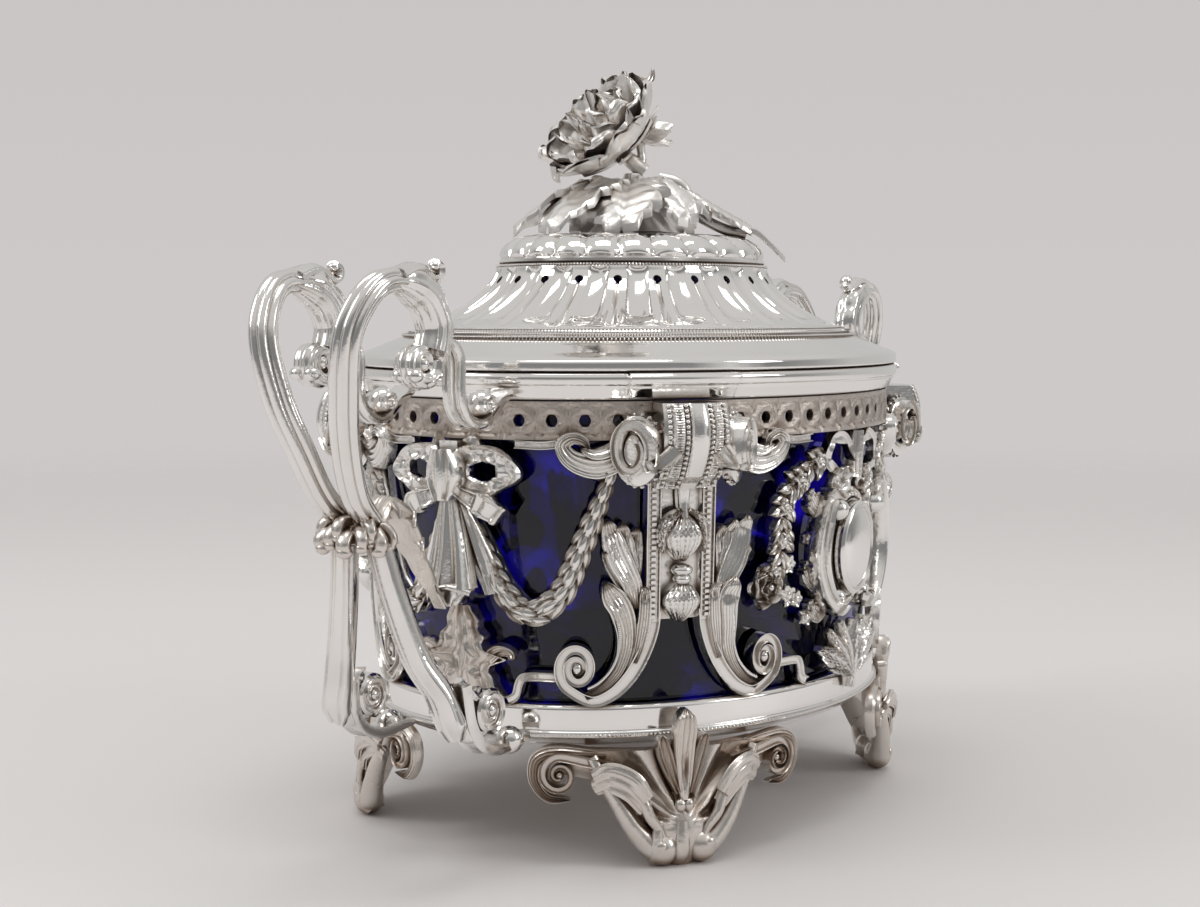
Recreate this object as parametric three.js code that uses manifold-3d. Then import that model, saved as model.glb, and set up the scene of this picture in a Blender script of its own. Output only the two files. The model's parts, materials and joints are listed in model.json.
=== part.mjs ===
// Covered sugar bowl: an openwork silver cage with a blue glass liner and a lid with a rose finial.
// Millimetres, +Z up, +X along the oval from handle to handle.
// The origin is on the ground under the middle.

import * as THREE from 'three';
import { mergeGeometries, mergeVertices } from 'three/addons/utils/BufferGeometryUtils.js';
import Module from 'manifold-3d';

const wasm = await Module();
wasm.setup();

// Gap between pieces that sit on each other
const clearance = 0.3;

// Oval of the body at the outer face of the frieze
const wallHalfLength = 72;
const wallHalfWidth = 58;
const wallThickness = 1.5;
const wallTaper = 2.5;

// Heights, from the ground up
const footHeight = 24.7;
const baseHeight = 9;
const openWallHeight = 56;
const friezeHeight = 8;
const rimHeight = 5.7;

// Base ring and floor
const baseThickness = 2.3;
const baseProud = 1.9;
const baseLedgeWidth = 4;
const baseLedgeHeight = 1.9;
const baseTuck = 2.4;
const baseBeadRise = 2.6;
const floorThickness = 1.2;

// Frieze holes
const holePitch = 6.9;
const holeRadius = 1.25;

// Rim moulding with raised blocks over the pilasters
const rimProud = 2.85;
const rimBlockProud = 1.2;
const rimBlockHalfWidth = 12;
const rimBlockStep = 0.7;
const rimSpans = 24;

// Pilasters, placed along the wall from the middle of each end
const pilasterFromEnd = 48.2;
const shaftHalfWidth = 7.8;
const shaftThickness = 3.2;
const shaftStripWidth = 3.4;
const shaftChannelDepth = 1.4;
const shaftFootHeight = 18;
const capitalDrop = 10;
const capitalHalfWidth = 6.4;
const capitalThickness = 11;
const sideVoluteOut = 10.6;
const sideVoluteStandOff = 6.2;
const sideVoluteHalfWidth = 5.4;
const sideVoluteHalfHeight = 7.4;
const sideVoluteTurn = 0.7;
const sprayLength = 26.5;

// Scroll legs beside each pilaster
const legStrapWidth = 4.2;
const legThickness = 3;
const legVoluteOut = 22.2;
const legVoluteRise = 8;
const legVoluteRadius = 4.6;
const legLeafOut = 16;
const legLeafTop = 20.6;
const legLobeOutEnd = 17.2;
const legLobeOutSide = 14.2;
const legLobeTop = 8.4;
const bridgeOut = 35;
const bridgeRise = 5.9;

// Swags and ribbon bows on the ends
const bowKnotDrop = 7.4;
const bowLoopOut = 12.4;
const bowStrapWidth = 2.8;
const bowLift = 4.4;
const bowThickness = 9.4;
const tasselLength = 24;
const tasselWidth = 9.6;
const tasselThickness = 9.6;
const swagStartOut = 5.4;
const swagStartDrop = 13;
const swagLowOut = 15.8;
const swagLowRise = 19.6;
const swagTopOut = 32.6;
const swagWidth = 7;
const swagThickness = 3.8;
const endLeafHalfWidth = 10;
const endLeafHeight = 21;
const ornamentThickness = 2;

// Medallion group on the long sides
const medallionHalfWidth = 8.4;
const medallionHalfHeight = 10.7;
const medallionRise = 29;
const medallionThickness = 3;
const cartoucheHalfWidth = 17.7;
const cartoucheHalfHeight = 16.3;
const cartoucheRing = 3.4;
const cartoucheThickness = 2.2;
const ribbonLoopOut = 12.6;
const ribbonWidth = 2.2;
const garlandStartOut = 13.8;
const garlandStartDrop = 4.9;
const garlandBulgeOut = 25.6;
const garlandBulgeDrop = 12.6;
const garlandOut = 31;
const garlandRise = 23;
const garlandWidth = 3.8;
const roseRadius = 4.9;
const sideBudRadius = 2.8;
const palmetteHalfWidth = 14.5;
const palmetteHeight = 12.6;
const palmetteDrop = 3.2;

// Feet
const kneeReach = -2.7;
const toeReach = 4.2;
const kneeDepth = 4.6;
const toeDepth = 3.2;
const toeWidth = 14.5;
const ankleWidth = 27;
const kneeWidth = 42;
const footLeafRise = 8.6;
const footLeafReach = 5.4;
const apronScrollRadius = 4;
const apronLength = 26;

// Handles, with reach measured from the middle of the bowl
const collarReach = 106;
const collarHeight = 71.3;
const collarThickness = 3.8;
const collarRadius = 5.4;
const armThickness = 5.4;
const armWidth = 6.4;
const armSpread = 12.6;
const armBulgeReach = 121;
const armBulgeHeight = 108;
const armTopReach = 110.5;
const armTopHeight = 122.4;
const armInnerReach = 98;
const armScrollDrop = 15.9;
const armScrollRadius = 4;
const bracketReach = 84.8;
const bracketRadius = 6.4;
const bracketHeight = 100.6;
const bracketBallRadius = 2.8;
const handleLegWidth = 8.4;
const handleLegThickness = 3;
const handleLegSpread = 15.5;
const handleLegReach = 94;
const handleVoluteReach = 82;
const handleVoluteHeight = 36.2;
const handleVoluteRadius = 4.4;
const handleBallRadius = 2.5;

// Glass liner
const linerPlay = 1.2;
const glassThickness = 2.2;
const linerBelowRim = 3.5;
const linerSegments = 24;

// Lid, with reach measured along the long axis
const lidEdgeHeight = 2.1;
const lidEdgeInset = 0.2;
const lidStepReach = 57;
const lidStepRise = 8.9;
const lidBandTopReach = 37.5;
const lidBandTopRise = 22.8;
const lidWall = 1.3;
const lidSeatWidth = 9.6;
const bezelDepth = 2.2;
const bezelPlay = 2.4;
const bezelThickness = 1.2;
const fluteCount = 24;
const fluteRise = 1.1;
const domeRise = 7.6;
const gadroonCount = 24;
const gadroonDepth = 0.8;

// Finial, which leans across the bowl
const finialTurn = -58.5 * Math.PI / 180;
const studRadius = 2;
const studLength = 7;
const nutRadius = 5;
const nutHeight = 3;
const bossHeight = 14.2;
const bossRadius = 12;
const roseHalfWidth = 16;
const roseDepth = 14.5;
const roseTilt = 0.8;
const roseFootOut = 3.8;
const roseFootRise = 4.8;
const budRadius = 3.4;
const budLength = 11;
const budFootRise = 6.4;
const budLean = 1.15;

// Leaves that spread from the boss, each turned from the finial's lean
const finialLeafSizes = [
  { turn: 0.49, length: 28, droop: 11.4, width: 15 },
  { turn: 0.36, length: 24, droop: 11, width: 13 },
  { turn: 0.225, length: 24, droop: 11.4, width: 14 },
  { turn: 0.1, length: 20, droop: 9, width: 12 },
  { turn: 0, length: 36, droop: 18, width: 7 },
  { turn: -0.15, length: 22, droop: 11, width: 13 },
  { turn: -0.34, length: 24, droop: 11, width: 14 },
];

// Levels worked out from the heights
const armScrollHeight = armTopHeight - armScrollDrop;
const baseBottom = footHeight + clearance;
const baseTop = baseBottom + baseHeight;
const friezeBottom = baseTop + openWallHeight;
const friezeTop = friezeBottom + friezeHeight;
const rimBottom = friezeTop + clearance;
const rimTop = rimBottom + rimHeight;
const lidBottom = rimTop + clearance;
const floorBottom = baseBottom + baseLedgeHeight + clearance;
const linerBottom = floorBottom + floorThickness + clearance;
const linerTop = rimTop - linerBelowRim;
const rimHalfLength = wallHalfLength + rimProud;
const rimHalfWidth = wallHalfWidth + rimProud;
const domeBottom = lidBottom + lidBandTopRise + clearance;
const domeTop = domeBottom + domeRise;
const domeInside = domeTop - lidWall - 0.9;
const bossBottom = domeTop + clearance;
const bossTop = bossBottom + bossHeight;

// Distance along the oval against its angle
function measureOval(steps) {
  const lengths = [0];
  for (let i = 0; i < steps; i += 1) {
    const angle = ((i + 0.5) / steps) * 2 * Math.PI;
    const speed = Math.hypot(wallHalfLength * Math.sin(angle), wallHalfWidth * Math.cos(angle));
    lengths.push(lengths[i] + (speed * 2 * Math.PI) / steps);
  }
  return lengths;
}

const ovalLengths = measureOval(1440);
const ovalLength = ovalLengths[ovalLengths.length - 1];

function ovalAngle(distance) {
  const wrapped = ((distance % ovalLength) + ovalLength) % ovalLength;
  const next = ovalLengths.findIndex((length) => length > wrapped);
  const part = (wrapped - ovalLengths[next - 1]) / (ovalLengths[next] - ovalLengths[next - 1]);
  return ((next - 1 + part) / (ovalLengths.length - 1)) * 2 * Math.PI;
}

// A point beside the wall oval, at a distance along it and an offset out from it
function ovalPoint(distance, offset, z) {
  const angle = ovalAngle(distance);
  const normal = new THREE.Vector3(Math.cos(angle) / wallHalfLength, Math.sin(angle) / wallHalfWidth, 0);
  normal.normalize();
  const x = wallHalfLength * Math.cos(angle) + offset * normal.x;
  const y = wallHalfWidth * Math.sin(angle) + offset * normal.y;
  return new THREE.Vector3(x, y, z);
}

// The inner face of the tapering wall
function wallOffset(z) {
  const down = THREE.MathUtils.clamp((friezeBottom - z) / openWallHeight, 0, 1);
  return -wallThickness - wallTaper * down;
}

// Ornament is drawn flat: u along the wall, z up and w out from its inner face
function onWall(start, side = 1) {
  return (u, z, w) => ovalPoint(start + side * u, wallOffset(z) + w, z);
}

// Moves every vertex, joins shared ones, drops collapsed triangles and turns the faces outwards
function reshape(geometry, place) {
  const position = geometry.attributes.position;
  for (let i = 0; i < position.count; i += 1) {
    const moved = place(position.getX(i), position.getY(i), position.getZ(i));
    position.setXYZ(i, moved.x, moved.y, moved.z);
  }
  geometry.deleteAttribute('normal');
  geometry.deleteAttribute('uv');
  const merged = mergeVertices(geometry, 1e-3);
  const index = Array.from(merged.index.array);
  const kept = [];
  let volume = 0;
  for (let i = 0; i < index.length; i += 3) {
    const [a, b, c] = index.slice(i, i + 3);
    if (a !== b && b !== c && c !== a) {
      kept.push([a, b, c]);
      const [from, over, to] = [a, b, c].map((n) => (
        new THREE.Vector3().fromBufferAttribute(merged.attributes.position, n)
      ));
      volume += from.dot(over.cross(to));
    }
  }
  merged.setIndex((volume < 0 ? kept.map(([a, b, c]) => [a, c, b]) : kept).flat());
  return merged;
}

function solid(geometry) {
  const vertProperties = new Float32Array(geometry.attributes.position.array);
  const triVerts = new Uint32Array(geometry.index.array);
  return new wasm.Manifold(new wasm.Mesh({ numProp: 3, vertProperties, triVerts }));
}

function join(parts) {
  return parts.map(solid).reduce((sum, part) => sum.add(part));
}

function geometryOf(manifold) {
  const result = manifold.getMesh();
  const geometry = new THREE.BufferGeometry();
  geometry.setAttribute('position', new THREE.BufferAttribute(new Float32Array(result.vertProperties), 3));
  geometry.setIndex(Array.from(result.triVerts));
  return geometry;
}

// Cross sections of a strap, from one edge over the front to the other: [across, out]
const trapezoid = [[1, 0], [0.62, 1], [-0.62, 1], [-1, 0]];
const leafSection = [[1, 0], [0.94, 0.45], [0, 1], [-0.94, 0.45], [-1, 0]];
const lobeSection = [[1, 0], [0, 1], [-1, 0]];

// Which of a turned shape's equal steps a vertex lies on
function turnStep(x, z, steps) {
  return (Math.round((Math.atan2(x, z) / (2 * Math.PI)) * steps) + steps) % steps;
}

// A closed body of a given section along a line, each ring placed by a function
function sweep(section, steps, place) {
  const body = new THREE.CylinderGeometry(1, 1, 1, section.length, steps);
  const middle = section.reduce((sum, [across, out]) => [sum[0] + across, sum[1] + out], [0, 0]);
  return reshape(body, (x, y, z) => {
    const corner = turnStep(x, z, section.length);
    const onAxis = Math.hypot(x, z) < 0.5;
    const [across, out] = onAxis ? middle.map((value) => value / section.length) : section[corner];
    return place(0.5 - y, across, out);
  });
}

// A strap on the wall: points are [u, z, w], width and thickness change along it
function strap(map, points, width, thickness, steps, section = trapezoid) {
  const line = new THREE.CatmullRomCurve3(points.map((point) => new THREE.Vector3(...point)));
  return sweep(section, steps, (t, across, out) => {
    const point = line.getPointAt(t);
    const along = line.getTangentAt(t);
    const length = Math.hypot(along.x, along.y);
    const reach = (across * width(t)) / 2;
    const u = point.x - (along.y / length) * reach;
    const z = point.y + (along.x / length) * reach;
    return map(u, z, point.z + out * thickness(t));
  });
}

// Widths that swell and taper
const even = (size) => () => size;
const taper = (from, to) => (t) => from + (to - from) * t;
const leafWidth = (root, middle, tip) => (t) => (t < 0.5
  ? root + (middle - root) * Math.sin(Math.PI * t)
  : tip + (middle - tip) * Math.sin(Math.PI * t));

// Points of a spiral round a centre, from a start angle, drawing in
function spiralPoints(centre, [radiusU, radiusZ], start, turns, inner, count, lift, direction = 1) {
  return Array.from({ length: count + 1 }, (_, i) => {
    const part = i / count;
    const angle = start + direction * turns * 2 * Math.PI * part;
    const size = 1 + (inner - 1) * part;
    const [u, z] = [radiusU * size * Math.cos(angle), radiusZ * size * Math.sin(angle)];
    return [centre[0] + u, centre[1] + z, lift];
  });
}

// A flat ornament cut to an outline on the wall
function plate(map, shape, lift, thickness) {
  const slab = new THREE.ExtrudeGeometry(shape, { depth: thickness, bevelEnabled: false });
  return reshape(slab, (x, y, z) => map(x, y, lift + z));
}

function lathe(profile, segments) {
  return new THREE.LatheGeometry(profile.map(([r, h]) => new THREE.Vector2(r, h)), segments);
}

// A domed round or oval boss on the wall from a turned profile
function boss(map, centre, profile, halfWidth, halfHeight, segments, lift) {
  const turned = lathe(profile, segments);
  return reshape(turned, (x, y, z) => map(centre[0] + x * halfWidth, centre[1] + z * halfHeight, lift + y));
}

// A ring or shell that follows the oval; profile points are [offset, z], null is the middle
const spindle = 200;
function ovalShell(profile, segments, place) {
  const turned = lathe(profile.map(([offset, z]) => [offset === null ? 0 : spindle + offset, z]), segments);
  return reshape(turned, (x, y, z) => {
    const radius = Math.hypot(x, z);
    return radius < 1 ? new THREE.Vector3(0, 0, y) : place(turnStep(x, z, segments), radius - spindle, y);
  });
}

const ringSegments = 30;
const friezePanels = Math.round(ovalLength / holePitch);
const around = (segments) => (step, offset, z) => ovalPoint((step / segments) * ovalLength, offset, z);

// Distances along the oval to the middles of the faces and to the pilasters
const faceStart = { right: 0, back: ovalLength / 4, left: ovalLength / 2, front: (3 * ovalLength) / 4 };
const pilasterSpots = [
  { name: 'back_right', at: pilasterFromEnd, toEnd: -1 },
  { name: 'back_left', at: ovalLength / 2 - pilasterFromEnd, toEnd: 1 },
  { name: 'front_left', at: ovalLength / 2 + pilasterFromEnd, toEnd: -1 },
  { name: 'front_right', at: ovalLength - pilasterFromEnd, toEnd: 1 },
];

function baseRim() {
  const outer = -wallThickness - wallTaper + baseProud;
  const inner = outer - baseThickness;
  const ledge = inner - baseLedgeWidth;
  const beadHeight = baseBottom + baseBeadRise;
  return ovalShell([
    [ledge, baseBottom],
    [outer - baseTuck, baseBottom],
    [outer + 0.4, beadHeight],
    [outer, beadHeight + 0.9],
    [outer, baseTop],
    [inner, baseTop],
    [inner, baseBottom + baseLedgeHeight],
    [ledge, baseBottom + baseLedgeHeight],
    [ledge, baseBottom],
  ], ringSegments, around(ringSegments));
}

function floorPlate() {
  const edge = -wallThickness - wallTaper + baseProud - baseThickness - clearance;
  const top = floorBottom + floorThickness;
  const profile = [[null, floorBottom], [edge, floorBottom], [edge, top], [null, top]];
  return ovalShell(profile, ringSegments, around(ringSegments));
}

// The frieze is a ring of equal panels, each with its hole, open to the next one
function friezeBand() {
  const width = ovalLength / friezePanels;
  const panels = Array.from({ length: friezePanels }, (_, i) => {
    const middle = (i + 0.5) * width;
    const panel = outline([[0, 0], [width, 0], [width, friezeHeight], [0, friezeHeight]]);
    if (!pilasterSpots.some((spot) => Math.abs(spot.at - middle) < capitalHalfWidth + holeRadius)) {
      const hole = Array.from({ length: 5 }, (_, n) => {
        const angle = (n / 5 + 0.25) * 2 * Math.PI;
        const across = width / 2 + holeRadius * Math.cos(angle);
        return new THREE.Vector2(across, friezeHeight / 2 + holeRadius * Math.sin(angle));
      });
      panel.holes.push(new THREE.Path(hole));
    }
    const slab = new THREE.ExtrudeGeometry(panel, { depth: wallThickness, bevelEnabled: false });
    return openEnds(slab, width).translate(i * width, 0, 0);
  });
  return reshape(mergeGeometries(panels), (x, y, z) => {
    const joint = Math.round(x / width) * width;
    return ovalPoint(Math.abs(x - joint) < 0.01 ? joint : x, z - wallThickness, friezeBottom + y);
  });
}

// Drops the two end faces of a panel, where it runs on into its neighbours
function openEnds(slab, width) {
  const { position } = slab.attributes;
  const kept = [];
  for (let i = 0; i < position.count; i += 3) {
    const across = [0, 1, 2].map((n) => position.getX(i + n));
    const atEnd = across.every((x) => x < 1e-3) || across.every((x) => x > width - 1e-3);
    if (!atEnd) {
      kept.push(...position.array.slice(3 * i, 3 * i + 9));
    }
  }
  const open = new THREE.BufferGeometry();
  return open.setAttribute('position', new THREE.BufferAttribute(new Float32Array(kept), 3));
}

// Stations round the rim, with an extra pair at each edge of the raised blocks
function rimStations() {
  const edges = pilasterSpots.flatMap(({ at }) => [-1, 1].flatMap((side) => [
    at + side * rimBlockHalfWidth,
    at + side * (rimBlockHalfWidth + rimBlockStep),
  ]));
  const plain = Array.from({ length: rimSpans }, (_, i) => (i / rimSpans) * ovalLength);
  const clear = plain.filter((at) => edges.every((edge) => Math.abs(edge - at) > 2));
  return [...edges, ...clear].sort((a, b) => a - b);
}

function rimMount() {
  const stations = rimStations();
  const raised = (at) => pilasterSpots.some((spot) => Math.abs(spot.at - at) < rimBlockHalfWidth + 0.1);
  return ovalShell([
    [-wallThickness, rimBottom],
    [0.6, rimBottom],
    [rimProud - 0.5, rimBottom + 2],
    [rimProud, rimBottom + 3],
    [rimProud, rimTop - 0.9],
    [rimProud - 0.6, rimTop],
    [-wallThickness, rimTop],
    [-wallThickness, rimBottom],
  ], stations.length, (step, offset, z) => {
    const at = stations[step];
    const proud = raised(at) && offset > 0 ? rimBlockProud * (offset / rimProud) : 0;
    return ovalPoint(at, offset + proud, z);
  });
}

// Pilaster with its capital, side volutes, husk drops and leaf sprays
function pilaster({ at }) {
  const map = onWall(at);
  const foot = baseTop + shaftFootHeight;
  const front = wallThickness + 2 * clearance;
  const capitalFoot = friezeBottom - capitalDrop;
  const half = shaftHalfWidth;
  const channel = half - shaftStripWidth;
  const profile = new THREE.Shape([
    [-half, 0], [half, 0], [half, shaftThickness], [channel, shaftThickness], [channel, shaftChannelDepth],
    [-channel, shaftChannelDepth], [-channel, shaftThickness], [-half, shaftThickness],
  ].map(([u, w]) => new THREE.Vector2(u, w)));
  const length = friezeBottom - clearance - foot;
  const bar = new THREE.ExtrudeGeometry(profile, { depth: length, bevelEnabled: false });
  const shaft = reshape(bar, (x, y, z) => map(x, foot + z, y));
  const ribs = [[1, 0], [1, 0.72], [0.5, 0.8], [0.36, 1], [-0.36, 1], [-0.5, 0.8], [-1, 0.72], [-1, 0]];
  const bulge = (t) => capitalThickness * (0.62 + 0.38 * Math.sin(Math.PI * Math.min(1, 0.25 + 0.8 * t)));
  const capitalLine = [[0, friezeTop, front], [0, capitalFoot, front]];
  const capital = strap(map, capitalLine, even(2 * capitalHalfWidth), bulge, 3, ribs);
  const huskLine = [[0, capitalFoot + 1, shaftChannelDepth - 0.4], [0, foot, shaftChannelDepth - 0.4]];
  const husk = (t) => 1.6 + 5.2 * Math.abs(Math.sin(Math.PI * (0.2 + 2.7 * t)));
  const drops = strap(map, huskLine, husk, (t) => 1 + husk(t) * 0.55, 7, lobeSection);
  const volutes = [-1, 1].map((side) => {
    const slanted = (a, z, out) => {
      const u = sideVoluteOut + a * Math.cos(sideVoluteTurn) + out * Math.sin(sideVoluteTurn);
      const w = sideVoluteStandOff - a * Math.sin(sideVoluteTurn) + out * Math.cos(sideVoluteTurn);
      return map(side * u, z, Math.max(front + clearance, w));
    };
    const centre = [0, friezeBottom - 2];
    const size = [sideVoluteHalfWidth, sideVoluteHalfHeight];
    const turn = spiralPoints(centre, size, Math.PI, 1.25, 0.2, 10, 0, -1);
    const root = [-sideVoluteHalfWidth - 2.4, centre[1] - 2, -2.6];
    return strap(slanted, [root, ...turn], taper(2.8, 1.8), even(2.4), 9, lobeSection);
  });
  const sprays = [-1, 1].map((side) => {
    const top = friezeBottom - clearance;
    const line = [
      [side * (sideVoluteOut + 1), top - 3, 1],
      [side * (sprayLength - 8), top - 6.2, 1],
      [side * (sprayLength - 3), top - 4.6, 1],
      [side * sprayLength, top - 1.2, 1],
    ];
    return strap(map, line, leafWidth(2.6, 4.4, 1.2), even(2.8), 3, lobeSection);
  });
  return geometryOf(join([shaft, capital, drops, ...volutes, ...sprays]));
}

// Scroll leg with acanthus lobes, from under the pilaster's strip to the base, and its bridge
function scrollLeg({ at }, side, lobeOut) {
  const map = onWall(at, side);
  const foot = baseTop + shaftFootHeight;
  const beside = shaftHalfWidth + 2 * clearance;
  const inner = shaftHalfWidth - shaftStripWidth / 2;
  const centre = [legVoluteOut, baseTop + legVoluteRise];
  const low = baseTop + clearance + legStrapWidth / 2;
  const size = [legVoluteRadius, legVoluteRadius * 1.1];
  const curl = spiralPoints(centre, size, -0.2 * Math.PI, 1.2, 0.3, 9, 0);
  const line = [
    [inner, foot - 2 * clearance, 0],
    [inner + 0.3, foot - 3, 0],
    [inner + 2.6, foot - 9, 0],
    [inner + 6.8, low + 2.2, 0],
    [legVoluteOut - 3.4, low + 0.1, 0],
    ...curl,
  ];
  const main = strap(map, line, taper(legStrapWidth, 1.9), taper(legThickness, 2.4), 11);
  const leafLine = [
    [beside + 1.4, foot - 7, 0],
    [beside + 3.4, foot + 5, 0],
    [legLeafOut, foot + legLeafTop, 0],
  ];
  const leaf = strap(map, leafLine, leafWidth(3.8, 6.2, 2), taper(2.6, 3.4), 3, lobeSection);
  const lobeLine = [
    [beside + 1.6, foot - 8, 0],
    [beside + 5, foot - 1, 0],
    [lobeOut, foot + legLobeTop, 0],
  ];
  const lobe = strap(map, lobeLine, leafWidth(3.6, 5.4, 1.6), taper(2.4, 3), 2, lobeSection);
  const height = baseTop + bridgeRise;
  const bridgeLine = [
    [centre[0] + legVoluteRadius - 1, height, 0],
    [bridgeOut - 1.6, height, 0],
    [bridgeOut, height - 1, 0],
    [bridgeOut + 1.4, baseTop + clearance + 0.9, 0],
  ];
  const bridge = strap(map, bridgeLine, even(2.2), even(1.9), 3, lobeSection);
  return geometryOf(join([main, leaf, lobe, bridge]));
}

// Ribbon bow in high relief with a tassel, on the middle of an end
function endBow(start) {
  const map = onWall(start);
  const knot = friezeBottom - bowKnotDrop;
  const top = friezeBottom - clearance;
  const loops = [-1, 1].map((side) => strap(map, [
    [side * 2, knot + 1, bowLift],
    [side * bowLoopOut * 0.5, top - 3.2, bowLift],
    [side * bowLoopOut * 0.94, top - 4, bowLift],
    [side * bowLoopOut, knot - 1.2, bowLift],
    [side * bowLoopOut * 0.55, knot - 3.6, bowLift],
    [side * 2, knot - 1, bowLift],
  ], even(bowStrapWidth), even(3), 6, lobeSection));
  const tails = [-1, 1].map((side) => strap(map, [
    [side, knot - 3, bowLift - 0.4],
    [side * 5, knot - 5.4, bowLift - 0.4],
    [side * 9, knot - 8.6, bowLift - 0.4],
  ], taper(2.2, 4.4), even(2.4), 1));
  const knotLine = [[0, top, 0], [0, knot, 0], [0, knot - 5, 0]];
  const knotStrap = strap(map, knotLine, leafWidth(4.4, 8.6, 5), even(bowThickness), 3);
  const drop = strap(map, [
    [0, knot - 3, bowLift],
    [0, knot - 3 - tasselLength, bowLift],
  ], taper(4, tasselWidth), taper(4, tasselThickness - bowLift), 2, leafSection);
  return geometryOf(join([...loops, ...tails, knotStrap, drop]));
}

// Laurel swag from the bow to the pilaster
function swag(start, side) {
  const map = onWall(start, side);
  const knot = friezeBottom - bowKnotDrop;
  const low = baseTop + swagLowRise;
  const line = [
    [swagStartOut, knot - swagStartDrop, 0.2],
    [swagLowOut - 6.2, low + 5, 0],
    [swagLowOut, low, 0],
    [swagLowOut + 7, low + 4.4, 0],
    [swagTopOut - 4.2, low + 18, 0],
    [swagTopOut, knot - 1, 0],
  ];
  const swell = (t) => Math.sin(Math.PI * (0.08 + 0.86 * t));
  const scallop = (t) => 1.6 + (swagWidth - 1.6) * swell(t) * (0.92 + 0.08 * Math.cos(40 * t));
  const thickness = (t) => swagThickness * (0.35 + 0.65 * Math.sin(Math.PI * t));
  return strap(map, line, scallop, thickness, 10, leafSection);
}

function outline(points) {
  return new THREE.Shape(points.map(([x, y]) => new THREE.Vector2(x, y)));
}

// Both halves of an outline that is the same left and right
function mirrored(half) {
  const other = half.filter(([x]) => x > 0).map(([x, y]) => [-x, y]).reverse();
  return outline([...half, ...other]);
}

function endLeaf(start) {
  const foot = baseTop + clearance;
  const wide = endLeafHalfWidth;
  const tall = endLeafHeight;
  const shape = mirrored([
    [0, foot],
    [wide * 0.45, foot],
    [wide * 0.7, foot + tall * 0.2],
    [wide * 0.55, foot + tall * 0.42],
    [wide * 0.95, foot + tall * 0.52],
    [wide, foot + tall * 0.64],
    [wide * 0.5, foot + tall * 0.68],
    [wide * 0.24, foot + tall * 0.84],
    [0, foot + tall],
  ]);
  return plate(onWall(start), shape, 0, ornamentThickness);
}

function medallion(start) {
  const section = [[0, 0], [1, 0], [1, 0.5], [0.9, 0.85], [0.8, 0.65], [0, 1]];
  const profile = section.map(([r, h]) => [r, h * medallionThickness]);
  const centre = [0, baseTop + medallionRise];
  const lift = cartoucheThickness + clearance;
  return boss(onWall(start), centre, profile, medallionHalfWidth, medallionHalfHeight, 16, lift);
}

// Scrolled frame round the medallion, pierced at the sides
function cartouche(start) {
  const centre = baseTop + medallionRise;
  const lobed = (angle) => 1 + 0.07 * Math.cos(4 * angle) + 0.05 * Math.cos(6 * angle);
  const rim = Array.from({ length: 20 }, (_, i) => {
    const angle = (i / 20) * 2 * Math.PI;
    return [
      cartoucheHalfWidth * lobed(angle) * Math.cos(angle) * 0.9,
      centre - 1.5 + cartoucheHalfHeight * lobed(angle) * Math.sin(angle) * 0.9,
    ];
  });
  const shape = outline(rim);
  for (const side of [-1, 1]) {
    const hole = Array.from({ length: 5 }, (_, i) => {
      const angle = (i / 4 - 0.5) * 1.7;
      const out = (cartoucheHalfWidth - cartoucheRing) * Math.cos(angle);
      return [side * out, centre - 1.5 + 13 * Math.sin(angle)];
    });
    const inside = Array.from({ length: 4 }, (_, i) => {
      const angle = (0.5 - i / 3) * 1.4;
      return [side * (medallionHalfWidth + 1.4) * Math.cos(angle), centre - 0.5 + 11 * Math.sin(angle)];
    });
    shape.holes.push(new THREE.Path([...hole, ...inside].map(([x, y]) => new THREE.Vector2(x, y))));
  }
  return plate(onWall(start), shape, 0, cartoucheThickness);
}

// Ribbon over the medallion
function sideBow(start) {
  const map = onWall(start);
  const knot = friezeBottom - bowKnotDrop;
  const top = friezeBottom - clearance;
  const loops = [-1, 1].map((side) => strap(map, [
    [side, knot + 1.2, 0.2],
    [side * ribbonLoopOut * 0.4, top - 1.8, 0.2],
    [side * ribbonLoopOut * 0.86, top - 1.7, 0.2],
    [side * ribbonLoopOut, knot + 0.6, 0.2],
    [side * ribbonLoopOut * 0.5, knot - 2.2, 0.2],
    [side, knot - 1.4, 0.2],
  ], even(ribbonWidth), even(2), 6, lobeSection));
  const knotStrap = strap(map, [[0, top, 0], [0, knot - 3.4, 0]], even(4), even(3.4), 2);
  return geometryOf(join([...loops, knotStrap]));
}

// Flower chain from the ribbon down to a rose beside the medallion
function garland(start, side) {
  const map = onWall(start, side);
  const rise = baseTop + garlandRise;
  const chain = strap(map, [
    [garlandStartOut, friezeBottom - garlandStartDrop, 0],
    [(garlandStartOut + garlandBulgeOut) / 2, friezeBottom - (garlandStartDrop + garlandBulgeDrop) / 2, 0],
    [garlandBulgeOut, friezeBottom - garlandBulgeDrop, 0],
    [garlandBulgeOut + 1.8, friezeBottom - garlandBulgeDrop - 5.4, 0],
    [garlandOut - 3.6, rise + 8, 0],
    [garlandOut - 1.4, rise + 3, 0],
  ], (t) => garlandWidth * (0.8 + 0.25 * Math.sin(22 * t)), even(2.4), 6, lobeSection);
  const petals = [[0, 0], [1, 0], [1, 1.6], [0.62, 3], [0, 2.2]];
  const rose = boss(map, [garlandOut, rise], petals, roseRadius, roseRadius, 8, 0);
  const cup = [[0, 0], [1, 0], [0.7, 2.2], [0, 2.8]];
  const bud = boss(map, [garlandOut - 7.2, rise - 2.6], cup, sideBudRadius, sideBudRadius, 6, 0);
  const twigLine = [[garlandOut - 2.5, rise - 0.8, 0], [garlandOut - 7, rise - 2.5, 0]];
  const twig = strap(map, twigLine, even(2), even(1.4), 1, lobeSection);
  return geometryOf(join([chain, rose, bud, twig]));
}

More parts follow.
